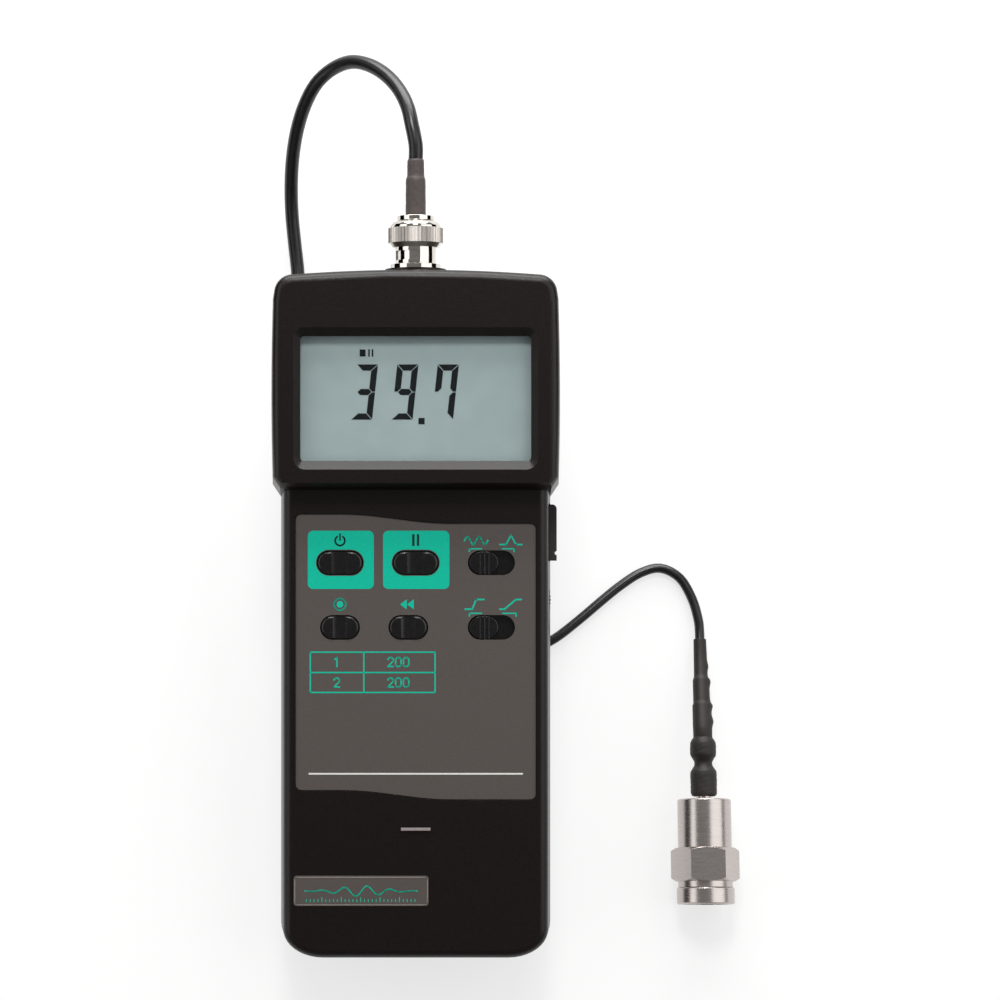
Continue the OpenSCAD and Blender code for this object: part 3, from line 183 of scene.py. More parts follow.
def black_flag(name, side, low, high, top):
    """A black card beside the connector, just out of the view, which only gloss shows."""
    corners = ((side, low, 0), (side, high, 0), (side, high, top), (side, low, top))
    mesh = bpy.data.meshes.new(name)
    bm = bmesh.new()
    bm.faces.new([bm.verts.new(corner) for corner in corners])
    bm.to_mesh(mesh)
    bm.free()
    flag = bpy.data.objects.new(name, mesh)
    bpy.context.scene.collection.objects.link(flag)
    card = new_material(name)
    black = add(card.node_tree, "ShaderNodeBsdfDiffuse", {"Color": colour("#050505")})
    add(card.node_tree, "ShaderNodeOutputMaterial", {"Surface": black.outputs[0]})
    mesh.materials.append(card)
    flag.visible_camera = flag.visible_diffuse = flag.visible_shadow = False


table_top()
black_flag("left_flag", side=-0.145, low=0.04, high=0.2, top=0.078)
black_flag("right_flag", side=0.145, low=0.05, high=0.2, top=0.088)

# Finishes
GRAIN_DETAIL = 3.0
TONE_SPAN = (0.3, 0.7)


def finish(name, tones, grain, relief, roughness, stretch=(1, 1, 1), metallic=0.0, specular=0.5):
    """A finish whose tone, gloss and relief follow one fine grain.

    tones are its darkest and lightest colour, grain is the width of one grain and relief its
    height, in millimetres, and roughness goes from the first value to the second over a grain.
    """
    material = new_material(name)
    tree = material.node_tree
    place = add(tree, "ShaderNodeTexCoord")
    scaled = add(tree, "ShaderNodeMapping", {"Vector": place.outputs["Object"], "Scale": stretch})
    grains = add(tree, "ShaderNodeTexNoise", {
        "Vector": scaled.outputs[0], "Scale": 1 / (grain * MILLIMETRE), "Detail": GRAIN_DETAIL})
    tone = add(tree, "ShaderNodeValToRGB", {"Fac": grains.outputs["Fac"]})
    for stop, position, code in zip(tone.color_ramp.elements, TONE_SPAN, tones):
        stop.position = position
        stop.color = colour(code)
    gloss = add(tree, "ShaderNodeMapRange", {
        "Value": grains.outputs["Fac"], "To Min": roughness[0], "To Max": roughness[1]})
    bump = add(tree, "ShaderNodeBump", {
        "Strength": 1.0, "Distance": relief * MILLIMETRE, "Height": grains.outputs["Fac"]})
    surface = add(tree, "ShaderNodeBsdfPrincipled", {
        "Base Color": tone.outputs["Color"], "Roughness": gloss.outputs[0], "Normal": bump.outputs[0],
        "Metallic": metallic, "Specular IOR Level": specular})
    add(tree, "ShaderNodeOutputMaterial", {"Surface": surface.outputs[0]})
    return material


# ABS moulded in a spark-eroded tool: a fine even grain that breaks up every highlight
CASE = finish("moulded_abs", ("#0a0403", "#150c0a"), 0.4, 0.03, (0.3, 0.42), specular=0.32)
# The same plastic from the polished inserts that mould the keys and knobs
KEY = finish("polished_abs", ("#0b0909", "#120f0f"), 0.8, 0.004, (0.22, 0.3))
# Polycarbonate overlay, printed grey-brown from behind, with a velvet face
PLATE = finish("velvet_overlay", ("#4f4845", "#55504c"), 0.3, 0.006, (0.5, 0.62), specular=0.25)
# Screen-printing inks
TEAL = finish("teal_ink", ("#08b093", "#0fba9d"), 0.4, 0.004, (0.5, 0.6), specular=0.15)
WHITE = finish("white_ink", ("#d9d6d2", "#e6e3df"), 0.4, 0.004, (0.45, 0.55))
DARK_INK = finish("dark_ink", ("#14312b", "#193731"), 0.4, 0.004, (0.5, 0.6), specular=0.15)
# Pale ink: the label's printed border, and also a painted highlight along the top of the case's raised bar
PALE_INK_AND_HIGHLIGHT = finish("pale_ink_and_painted_highlight", ("#8e8582", "#988f8c"), 0.4, 0.004, (0.45, 0.55))
# Display: ground glass over the reflector, and the dark crystal of its segments
DISPLAY = finish("display_glass", ("#9dafb0", "#a3b4b4"), 6.0, 0.0, (0.5, 0.55))
SEGMENT = finish("display_segment", ("#15181a", "#1c2022"), 1.0, 0.0, (0.5, 0.55), specular=0.1)
# Bright nickel over brass is nearly a mirror, and its rolled teeth are duller
NICKEL = finish("bright_nickel", ("#d5d0c8", "#e0dbd4"), 1.5, 0.001, (0.06, 0.12), metallic=1.0)
KNURL = finish("rolled_nickel", ("#c9c3bc", "#d6d0c9"), 0.3, 0.004, (0.34, 0.44), metallic=1.0)
# Turned stainless steel keeps its tool marks as rings round the axis, so the grain is drawn out
# across the sensor and short along it
STEEL = finish(
    "turned_stainless", ("#bbb3af", "#c5bdb9"), 1.2, 0.0006, (0.24, 0.3), stretch=(0.3, 4, 0.3),
    metallic=1.0)
ZINC = finish("zinc_plate", ("#9b9c9e", "#b0b1b3"), 0.6, 0.006, (0.3, 0.42), metallic=1.0)
GOLD = finish("gold_plate", ("#c9a04e", "#d9b463"), 0.6, 0.002, (0.2, 0.28), metallic=1.0)
HEAVY = finish("ground_tungsten", ("#6f7377", "#82868a"), 0.4, 0.006, (0.35, 0.5), metallic=1.0)
MAGNET = finish("plated_magnet", ("#4c5054", "#5d6165"), 0.5, 0.006, (0.35, 0.5), metallic=1.0)
# Heat-shrink sleeving: dead matt, slightly brown, with a faint orange peel
SLEEVING = finish("shrunk_sleeving", ("#191413", "#211b1a"), 0.9, 0.02, (0.5, 0.62), specular=0.4)
GREY_SLEEVING = finish("grey_sleeving", ("#3b3230", "#463c3a"), 0.9, 0.015, (0.5, 0.62))
# Extruded PVC jacket, smooth and satin along its length
JACKET = finish("extruded_pvc", ("#0d0b0c", "#141212"), 2.0, 0.006, (0.26, 0.36))
RUBBER = finish("moulded_rubber", ("#191515", "#231e1d"), 0.5, 0.012, (0.5, 0.62))
# Pieces inside the case
NYLON = finish("white_nylon", ("#d9d6cd", "#e6e3db"), 0.8, 0.006, (0.4, 0.5))
PTFE = finish("white_ptfe", ("#e2e0da", "#efede7"), 0.8, 0.004, (0.4, 0.5))
ELASTOMER = finish(
    "layered_elastomer", ("#8f879e", "#b3acc2"), 0.15, 0.004, (0.5, 0.6), stretch=(1, 0.1, 0.1))
MASK = finish("solder_mask", ("#1f5a38", "#2d6f49"), 1.6, 0.01, (0.3, 0.42))
COMPONENT = finish("black_component", ("#1b1b1d", "#29292b"), 0.6, 0.006, (0.3, 0.45))
CAN = finish("battery_sleeve", ("#33373a", "#43484b"), 0.8, 0.004, (0.3, 0.4))
CERAMIC = finish("silvered_ceramic", ("#c4b27a", "#d6c58e"), 0.4, 0.004, (0.4, 0.5))


def clear_acrylic():
    """Clear acrylic: a polished face that shows the lamps and hides next to nothing."""
    material = new_material("clear_acrylic")
    tree = material.node_tree
    place = add(tree, "ShaderNodeTexCoord")
    waves = add(tree, "ShaderNodeTexNoise", {
        "Vector": place.outputs["Object"], "Scale": 60.0, "Detail": 1.0})
    bump = add(tree, "ShaderNodeBump", {
        "Strength": 0.2, "Distance": 0.00002, "Height": waves.outputs["Fac"]})
    surface = add(tree, "ShaderNodeBsdfPrincipled", {
        "Base Color": colour("#1c2020"), "Roughness": 0.04, "Alpha": 0.06, "IOR": 1.49,
        "Normal": bump.outputs[0]})
    add(tree, "ShaderNodeOutputMaterial", {"Surface": surface.outputs[0]})
    return material


WINDOW = clear_acrylic()

# Pieces that follow the solids
BODY_OF = {
    node: body for body, nodes in frame["record"]["behaviour"]["bodies"].items() for node in nodes}
CREASE = math.radians(32)
FLAT = math.radians(0.3)
MERGE = 0.002 * MILLIMETRE


def shown(name, mesh, body, material):
    """Puts a finished mesh in the scene, riding on its body."""
    piece = bpy.data.objects.new(name, mesh)
    bpy.context.scene.collection.objects.link(piece)
    mesh.materials.clear()
    mesh.materials.append(material)
    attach(piece, body)
    return piece


def smoothed(node, material, edge):
    """A copy of a solid, smooth up to the crease angle and with its sharp edges broken."""
    mesh = frame["nodes"][node].data.copy()
    bm = bmesh.new()
    bm.from_mesh(mesh)
    bmesh.ops.remove_doubles(bm, verts=bm.verts, dist=MERGE)
    bmesh.ops.dissolve_limit(bm, angle_limit=FLAT, verts=bm.verts, edges=bm.edges)
    for face in bm.faces:
        face.smooth = True
    for line in bm.edges:
        line.smooth = len(line.link_faces) == 2 and line.calc_face_angle(0) < CREASE
    bm.to_mesh(mesh)
    bm.free()
    piece = shown(node + "_skin", mesh, BODY_OF[node], material)
    if edge:
        rounding = piece.modifiers.new("broken_edges", "BEVEL")
        rounding.width = edge * MILLIMETRE
        rounding.segments = 2
        rounding.limit_method = "ANGLE"
        rounding.angle_limit = CREASE
    even = piece.modifiers.new("even_shading", "WEIGHTED_NORMAL")
    even.keep_sharp = True
    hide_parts(node)


for node, material, edge in (
    ("front_case", CASE, 0.12), ("rear_case", CASE, 0.12), ("battery_door", CASE, 0.1),
    ("tilt_stand", CASE, 0.15), ("face_plate", PLATE, 0), ("label_plate", PLATE, 0.08),
    ("display_window", WINDOW, 0), ("power_button", KEY, 0), ("hold_button", KEY, 0),
    ("record_button", KEY, 0), ("recall_button", KEY, 0), ("detector_slider", KEY, 0.08),
    ("range_slider", KEY, 0.08), ("jack_cover", RUBBER, 0.3), ("zero_wheel", KEY, 0.05),
    ("bnc_socket", NICKEL, 0.12), ("coupling_nut", NICKEL, 0.06), ("plug_body", NICKEL, 0.08),
    ("sensor_base", STEEL, 0.08), ("sensor_can", STEEL, 0.05), ("magnet_base", STEEL, 0.05),
    ("mount_stud", STEEL, 0), ("base_magnet", MAGNET, 0.1), ("sleeve_end", SLEEVING, 0),
    ("coil_tie", RUBBER, 0.15), ("case_screws", ZINC, 0.08), ("battery", CAN, 0.3),
    ("battery_snap", COMPONENT, 0.3), ("data_jack", COMPONENT, 0.1),
):
    smoothed(node, material, edge)

# The rolled teeth of the plug's nut, along the meter and out from the connector's axis
CONNECTOR_Z = 16
TEETH_LOW, TEETH_HIGH = 186.85, 190.65
TEETH_INSIDE = 6.8

nut = bpy.data.objects["coupling_nut_skin"].data
nut.materials.append(KNURL)
for face in nut.polygons:
    x, y, z = ON_METER.inverted() @ face.center
    if TEETH_LOW < y < TEETH_HIGH and math.hypot(x, z - CONNECTOR_Z) > TEETH_INSIDE:
        face.material_index = 1

for node, material in (
    ("lcd_panel", DISPLAY), ("lcd_holder", NYLON), ("zebra_strips", ELASTOMER), ("main_board", MASK),
    ("board_screws", ZINC), ("key_switches", COMPONENT), ("slide_switches", ZINC),
    ("zero_trimmer", COMPONENT), ("bnc_nut", NICKEL), ("bnc_insulator", PTFE), ("bnc_contact", GOLD),
    ("plug_pin", GOLD), ("piezo_discs", CERAMIC), ("seismic_mass", HEAVY),
):
    for slot in frame["nodes"][node].material_slots:
        slot.material = material

# Cords
SLEEVED_THICKNESS = 3.8
LEAD_THICKNESS = 2.6
CASE_LENGTH = 180
BOOT_END = 28.8
CORD_STEPS = 4


def flowing(points, steps):
    """Points of a smooth line through the given ones."""
    line = []
    for i in range(len(points) - 1):
        before, start = Vector(points[max(i - 1, 0)]), Vector(points[i])
        end, after = Vector(points[i + 1]), Vector(points[min(i + 2, len(points) - 1)])
        for k in range(steps):
            t = k / steps
            line.append(0.5 * (
                2 * start + t * (end - before) + t * t * (2 * before - 5 * start + 4 * end - after)
                + t * t * t * (3 * start - before - 3 * end + after)))
    return line + [Vector(points[-1])]


def cord_piece(name, line, thickness):
    """A round cord along points on the table, all in millimetres."""
    data = bpy.data.curves.new(name, "CURVE")
    data.dimensions = "3D"
    data.bevel_depth = thickness / 2 * MILLIMETRE
    data.bevel_resolution = 4
    data.use_fill_caps = True
    spline = data.splines.new("POLY")
    spline.points.add(len(line) - 1)
    for point, place in zip(spline.points, line):
        point.co = (*(ON_TABLE @ place), 1)
    spline.use_smooth = True
    data.materials.append(JACKET)
    piece = bpy.data.objects.new(name, data)
    bpy.context.scene.collection.objects.link(piece)
    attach(piece, "meter")
    return piece


boot_mouth = ON_STAND @ Vector((0, CASE_LENGTH + BOOT_END, CONNECTOR_Z))
straight_out = ON_STAND @ Vector((0, CASE_LENGTH + BOOT_END + SLEEVED_THICKNESS, CONNECTOR_Z))
SLEEVED_POINTS = [
    boot_mouth, straight_out,
    (-1, 212, 52.3), (-2.2, 217.5, 51.2), (-4.5, 223, 48.8), (-8, 228, 45.8), (-12.5, 232, 42.2),
    (-17.5, 234.3, 38), (-22.5, 233.8, 33.8), (-27, 231, 29.8), (-30.3, 226.5, 25), (-32.6, 221, 19.8),
    (-34, 215, 14.2), (-34.6, 208.5, 9), (-34.5, 201.5, 5.2), (-33.8, 194, 3.2), (-33, 187, 2.2),
    (-32.5, 181, 2), (-31, 175, 2), (-28.8, 170.9, 2), (-27, 168.8, 2)]
BRIDGE_POINTS = [
    (-17.6, 163.9, 1.6), (-14.8, 163.34, 1.6), (-9, 163, 1.3), (-3, 163, 1.3), (3, 162.6, 1.3),
    (9.5, 161, 1.4), (15, 157.4, 1.6), (19, 152, 1.8), (20.9, 146, 2)]
RUN_POINTS = [
    (21.4, 129.5, 10.3), (21.5, 123.5, 8.4), (21.7, 117.5, 6.2), (22, 111.5, 4.2), (22.3, 105.5, 2.6),
    (22.5, 99.5, 1.7), (22.5, 93.5, 1.3), (22.8, 88, 1.3), (24.8, 83.8, 1.3), (28.5, 81, 1.3),
    (33, 80.8, 1.3), (38, 83, 1.3), (44.5, 88, 1.3), (51, 93.5, 1.3), (56, 97.5, 1.3), (61.5, 101, 1.3),
    (67, 102.3, 1.3), (72.2, 99.6, 1.3), (75.5, 93.8, 1.4), (77, 88.2, 1.65)]

# The coil lies under the raised display head: four layers of two and a half turns
COIL_AT = (3, 139)
COIL_RADIUS = 14.5
LAYER_TURNS = 2.5
LAYERS = 4
COIL_PITCH = 3.05
COIL_LOW = 2.0
COIL_RISE = 0.5
RINGS = 24


def eased(t):
    """Goes smoothly from nothing to one."""
    t = max(0.0, min(1.0, t))
    return t * t * (3 - 2 * t)


def coil_point(t):
    """A point after t turns. Layers wind out and in by turns, and a rise takes half a turn."""
    part = (t / LAYER_TURNS) % 2
    swing = part if part < 1 else 2 - part
    layer = min(LAYERS - 1, max(0, math.floor(t / LAYER_TURNS + 0.5)))
    if layer == 0 or t >= (LAYERS - 1) * LAYER_TURNS + COIL_RISE / 2:
        height = min(LAYERS - 1, math.floor(t / LAYER_TURNS))
    else:
        height = layer - 1 + eased((t - layer * LAYER_TURNS) / COIL_RISE + 0.5)
    radius = COIL_RADIUS + LAYER_TURNS * COIL_PITCH / 2 * (1 - 2 * swing)
    turn = -2 * math.pi * t
    return Vector((
        COIL_AT[0] + radius * math.cos(turn), COIL_AT[1] + radius * math.sin(turn),
        COIL_LOW + COIL_PITCH * height))


coil_line = [coil_point(i / RINGS) for i in range(int(LAYERS * LAYER_TURNS * RINGS) + 1)]
coil_start = coil_line[0] + Vector((0, LEAD_THICKNESS, 0))
coil_end = coil_line[-1] - Vector((0, LEAD_THICKNESS, 0))
COIL_LEAD_IN = Vector((0, 1, 0))
MOUTH_LEAD_IN = Vector((0, 2.5, -0.3))

# The sensor lies on one flat of its hexagon. Its pieces follow one another along y
SENSOR_X = 77
SENSOR_Z = 7.9
BASE_LOW = 11.2
BASE_AND_FOOT = 6.0
HEX_LENGTH = 8.8
CAN_LENGTH = 12.9
CAN_NECK = 0.85
CONNECTOR_LENGTH = 15.8
SLEEVE_LENGTH = 27
SLEEVE_DROP = 5.9
SLEEVE_ASIDE = 0.3
CONNECTOR_LOW = BASE_LOW + BASE_AND_FOOT + HEX_LENGTH + CAN_LENGTH + CAN_NECK
SLEEVE_LOW = CONNECTOR_LOW + CONNECTOR_LENGTH
sleeve_mouth = Vector((SENSOR_X + SLEEVE_ASIDE, SLEEVE_LOW + SLEEVE_LENGTH, SENSOR_Z - SLEEVE_DROP))

sleeved_line = flowing(SLEEVED_POINTS, CORD_STEPS)
lead_line = (
    flowing(BRIDGE_POINTS + [coil_start + COIL_LEAD_IN, coil_start], CORD_STEPS)
    + coil_line
    + flowing(
        [coil_end, coil_end - COIL_LEAD_IN] + RUN_POINTS + [sleeve_mouth + MOUTH_LEAD_IN, sleeve_mouth],
        CORD_STEPS))

sleeved_cord = cord_piece("sleeved_stretch", sleeved_line, SLEEVED_THICKNESS)
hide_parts("lead_sleeved")
lead_cord = cord_piece("sensor_lead", lead_line, LEAD_THICKNESS)
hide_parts("lead_bridge", "lead_coil", "lead_run")

# Sleeves and boots
SLEEVE_SIDES = 28
CLOSE = 1e-9


def sleeve_ring(bm, centre, radius, way, bulge):
    """One ring of a sleeve, square to its run, as its list of edges."""
    across = Vector((1, 0, 0))
    across = (across - across.dot(way) * way).normalized()
    up = across.cross(way)
    ring = bmesh.ops.create_circle(bm, segments=SLEEVE_SIDES, radius=radius)["verts"]
    for vert in ring:
        turn = math.atan2(vert.co.y, vert.co.x)
        reach = radius * (1 + bulge(turn))
        vert.co = centre + across * (reach * math.cos(turn)) + up * (reach * math.sin(turn))
    return list({edge for vert in ring for edge in vert.link_edges})


def sleeve_mesh(name, line, radii, place, bulges):
    """A sleeve drawn over a line, with a radius and a bulge at each point and closed ends."""
    bm = bmesh.new()
    last = None
    ends = []
    for i, centre in enumerate(line):
        way = (line[min(i + 1, len(line) - 1)] - line[max(i - 1, 0)]).normalized()
        ring = sleeve_ring(bm, centre, radii[i], way, bulges(i))
        if last:
            bmesh.ops.bridge_loops(bm, edges=last + ring)
        else:
            ends += ring
        last = ring
    ends += last
    bmesh.ops.holes_fill(bm, edges=ends, sides=0)
    bmesh.ops.recalc_face_normals(bm, faces=bm.faces)
    # Only the two closed ends, which have more than four corners, stay flat
    for face in bm.faces:
        face.smooth = len(face.verts) <= 4
    mesh = bpy.data.meshes.new(name)
    bm.to_mesh(mesh)
    bm.free()
    mesh.transform(place)
    return mesh


def radius_at(profile, at):
    """The radius at a distance, from a table of (distance, radius)."""
    a, b = next(pair for pair in zip(profile, profile[1:]) if at <= pair[1][0] + CLOSE)
    share = (at - a[0]) / (b[0] - a[0])
    return a[1] + (b[1] - a[1]) * share


def even_steps(profile, count):
    """Even steps along a table of (distance, radius)."""
    low, high = profile[0][0], profile[-1][0]
    distances = [low + (high - low) * i / count for i in range(count + 1)]
    return [(at, radius_at(profile, at)) for at in distances]


# Shrunk sleeving is a little knobbly all round
LOBES = 5
KNOB = 0.012
KNOB_TWIST = 0.4
KNOB_BEAT = 0.9


def knobbly(i):
    return lambda turn: KNOB * math.sin(LOBES * turn + i * KNOB_TWIST) * math.sin(i * KNOB_BEAT)


# Sleeve over the connector: two shoulders with a waist between them, as the photograph shows
CONNECTOR_PROFILE = [
    (0, 2.9), (0.25, 3.3), (0.8, 3.5), (5.8, 3.55), (6.6, 3.45), (7.3, 3.0), (8.0, 2.5), (8.6, 2.38),
    (9.2, 2.42), (9.9, 2.8), (10.6, 3.3), (11.2, 3.48), (13.3, 3.5), (14.2, 3.4), (15.0, 3.05),
    (15.5, 2.65), (CONNECTOR_LENGTH, 2.55)]
connector_steps = even_steps(CONNECTOR_PROFILE, 60)
connector_line = [Vector((SENSOR_X, CONNECTOR_LOW + at, SENSOR_Z)) for at, _ in connector_steps]
connector_radii = [radius for _, radius in connector_steps]
connector_mesh = sleeve_mesh("connector_sleeving", connector_line, connector_radii, ON_TABLE, knobbly)
connector_piece = shown("connector_sleeving", connector_mesh, "meter", SLEEVING)
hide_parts("connector_boot")

# Sleeve over the lead: three lengths shrunk one over the other, with the seam's puckers on one side
SLEEVE_POINTS = [
    (SENSOR_X, SLEEVE_LOW, SENSOR_Z), (SENSOR_X, SLEEVE_LOW + 1.5, SENSOR_Z),
    (SENSOR_X, SLEEVE_LOW + 3, SENSOR_Z - 0.3), (SENSOR_X + 0.1, SLEEVE_LOW + 9, SENSOR_Z - 2),
    (SENSOR_X + 0.2, SLEEVE_LOW + 16, SENSOR_Z - 3.9), (SENSOR_X + 0.3, SLEEVE_LOW + 22, SENSOR_Z - 5.3),
    tuple(sleeve_mouth)]
SLEEVE_PROFILE = [
    (0, 2.55), (3, 2.6), (8.7, 2.55), (9.1, 2.28), (15.8, 2.24), (16.2, 1.95), (17.0, 1.86), (22, 1.8),
    (SLEEVE_LENGTH, 1.72)]
PUCKERS = (4.2, 8.6, 15.2, 19.6)
PUCKER_LENGTH = 1.1
PUCKER_HEIGHT = 0.16
sleeve_curve = flowing(SLEEVE_POINTS, 16)
sleeve_radii = [
    radius_at(SLEEVE_PROFILE, min(max(point.y - SLEEVE_LOW, 0), SLEEVE_LENGTH)) for point in sleeve_curve]


def puckered(i):
    at = sleeve_curve[i].y - SLEEVE_LOW
    height = sum(PUCKER_HEIGHT * math.exp(-((at - p) / PUCKER_LENGTH) ** 2) for p in PUCKERS)
    return lambda turn: height * max(0.0, math.cos(turn)) ** 3


lead_sleeve_mesh = sleeve_mesh("lead_sleeving", sleeve_curve, sleeve_radii, ON_TABLE, puckered)
sleeve_piece = shown("lead_sleeving", lead_sleeve_mesh, "meter", SLEEVING)
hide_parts("sensor_sleeve")

# Boot at the plug, in two steps
BOOT_PROFILE = [
    (13.9, 2.45), (14.1, 2.63), (14.6, 2.66), (23.2, 2.6), (23.8, 2.52), (24.2, 2.3), (25, 2.24),
    (28.4, 2.2), (BOOT_END, 2.05)]
boot_steps = even_steps(BOOT_PROFILE, 50)
boot_line = [Vector((0, CASE_LENGTH + at, CONNECTOR_Z)) for at, _ in boot_steps]
boot_radii = [radius for _, radius in boot_steps]
boot_mesh = sleeve_mesh("plug_sleeving", boot_line, boot_radii, ON_METER, knobbly)
boot_piece = shown("plug_sleeving", boot_mesh, "meter", GREY_SLEEVING)
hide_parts("plug_boot")

# Printing: the heights of the printed faces over the meter's back, and one layer of ink
PLATE_TOP = 25.1
LABEL_TOP = 25.7
BAR_TOP = 25.85
DISPLAY_TOP = 28.1
INK = 0.03
SEGMENT_RELIEF = 0.06
PRINT_MERGE = 0.0001
CORNER_STEPS = 8
KEY_STEPS = 16


def arc_points(x, y, radius, start, end, steps):
    """Points of an arc, from one angle to another in degrees."""
    angles = [math.radians(start + (end - start) * i / steps) for i in range(steps + 1)]
    return [(x + radius * math.cos(angle), y + radius * math.sin(angle)) for angle in angles]


def box_outline(x0, y0, x1, y1):
    return [(x0, y0), (x1, y0), (x1, y1), (x0, y1)]


def rounded_outline(x0, y0, x1, y1, radius):
    """A box with round corners, from its upper right corner on."""
    turns = ((0, x1 - radius, y1 - radius), (90, x0 + radius, y1 - radius),
             (180, x0 + radius, y0 + radius), (270, x1 - radius, y0 + radius))
    return [
        point for start, x, y in turns
        for point in arc_points(x, y, radius, start, start + 90, CORNER_STEPS)]


def stroke(points, width, closed=False):
    """The outlines of straight strokes along the points, with a little overlap at each corner."""
    pairs = list(zip(points, points[1:])) + ([(points[-1], points[0])] if closed else [])
    outlines = []
    for a, b in pairs:
        a, b = Vector(a), Vector(b)
        way = (b - a).normalized() * width / 2
        side = Vector((-way.y, way.x))
        corners = (a - way + side, a - way - side, b + way - side, b + way + side)
        outlines.append([tuple(corner) for corner in corners])
    return outlines


def printed(name, outlines, height, material, holes=(), thick=INK):
    """Prints flat outlines on the meter, with the holes cut out of each."""
    bm = bmesh.new()
    for outline in outlines:
        data = bpy.data.curves.new(name, "CURVE")
        data.dimensions = "2D"
        data.fill_mode = "BOTH"
        data.extrude = thick / 2
        for line in (outline, *holes):
            spline = data.splines.new("POLY")
            spline.points.add(len(line) - 1)
            for point, (x, y) in zip(spline.points, line):
                point.co = (x, y, 0, 1)
            spline.use_cyclic_u = True
        carrier = bpy.data.objects.new(name + "_outline", data)
        bpy.context.scene.collection.objects.link(carrier)
        ready = carrier.evaluated_get(bpy.context.evaluated_depsgraph_get())
        flat = bpy.data.meshes.new_from_object(ready)
        bm.from_mesh(flat)
        bpy.data.objects.remove(carrier)
        bpy.data.curves.remove(data)
        bpy.data.meshes.remove(flat)
    bmesh.ops.remove_doubles(bm, verts=bm.verts, dist=PRINT_MERGE)
    bmesh.ops.recalc_face_normals(bm, faces=bm.faces)
    mesh = bpy.data.meshes.new(name)
    bm.to_mesh(mesh)
    bm.free()
    mesh.transform(ON_METER @ Matrix.Translation((0, 0, height + thick / 2)))
    shown(name, mesh, "meter", material)


# Teal patches round the two large keys
KEY_COLUMN = -19.55
KEY_ROW = 103.5
KEY_LENGTH = 12.5
KEY_WIDTH = 6.8
PATCH_LOW, PATCH_HIGH = 96.72, 111.77
PATCH_CORNER = 1.4


def key_hole(x):
    """The round-ended outline of a large key's opening."""
    straight = (KEY_LENGTH - KEY_WIDTH) / 2
    return (
        arc_points(x + straight, KEY_ROW, KEY_WIDTH / 2, -90, 90, KEY_STEPS)
        + arc_points(x - straight, KEY_ROW, KEY_WIDTH / 2, 90, 270, KEY_STEPS))


for name, left, right, key_x in (
    ("power_patch", -27.86, -10.82, KEY_COLUMN), ("hold_patch", -8.44, 8.7, 0),
):
    outline = rounded_outline(left, PATCH_LOW, right, PATCH_HIGH, PATCH_CORNER)
    printed(name, [outline], PLATE_TOP, TEAL, holes=[key_hole(key_x)])

# Signs over the keys
THIN = 0.42
BOLD = 0.62
FINE = 0.36
POINTER_LINE = 0.34
SIGN_Y = 109.35
LOW_SIGN_Y = 92.75
RECALL_SIGN_X = -0.5


def power_sign(x, y):
    """A ring that is open at its top, with a bar in the opening."""
    return (
        stroke(arc_points(x, y - 0.15, 1.25, 125, 415, 20), THIN)
        + stroke([(x, y + 0.1), (x, y + 1.5)], THIN))


def pause_sign(x, y):
    """Two upright bars."""
    bars = []
    for bar_x in (x - 0.6, x + 0.6):
        bars += stroke([(bar_x, y - 1.2), (bar_x, y + 1.2)], BOLD)
    return bars


def record_sign(x, y):
    """A disc in a ring."""
    return [arc_points(x, y, 0.85, 0, 345, 23)] + stroke(arc_points(x, y, 1.5, 0, 360, 24), FINE)


def recall_sign(x, y):
    """Two triangles that point back, from their right side on."""
    return [
        [(x, y + 1.3), (x - 1.7, y), (x, y - 1.3)],
        [(x - 1.8, y + 1.3), (x - 3.5, y), (x - 1.8, y - 1.3)]]


patch_signs = power_sign(KEY_COLUMN, SIGN_Y) + pause_sign(0, SIGN_Y)
printed("patch_signs", patch_signs, PLATE_TOP + INK, DARK_INK)

# Signs of the slide switches: a ripple and its peak, a steep and a shallow rise
RIPPLE_START = 12.6
RIPPLE_Y = 109.2
RIPPLE_STEPS = 20
RIPPLE_STEP = 0.3
RIPPLE_PACE = 2.1
ripple_x = [RIPPLE_START + RIPPLE_STEP * i for i in range(RIPPLE_STEPS + 1)]
ripple = [(x, RIPPLE_Y + math.sin((x - RIPPLE_START) * RIPPLE_PACE)) for x in ripple_x]
peak = [(21.8, 108.2), (23.3, 108.2), (24.6, 110.6), (25.9, 108.2), (27.4, 108.2)]
steep = [(12.8, 91.5), (14.6, 91.5), (15.6, 94.0), (17.6, 94.0)]
shallow = [(21.8, 91.5), (22.9, 91.5), (25.9, 94.0), (27.2, 94.0)]
slide_signs = []
for line in (ripple, peak, steep, shallow):
    slide_signs += stroke(line, THIN)

# Pointers from each slide switch's two places to its signs
POINTER_DROP = 0.7
POINTER_LEFT = (13.84, 16.94)
POINTER_RIGHT = 22.49
pointers = []
for y, right in ((107.1, 25.4), (90.44, 25.95)):
    pointers += stroke([(POINTER_LEFT[0], y - POINTER_DROP), (POINTER_LEFT[0], y), (POINTER_LEFT[1], y)],
                       POINTER_LINE)
    pointers += stroke([(POINTER_RIGHT, y), (right, y), (right, y - POINTER_DROP)], POINTER_LINE)

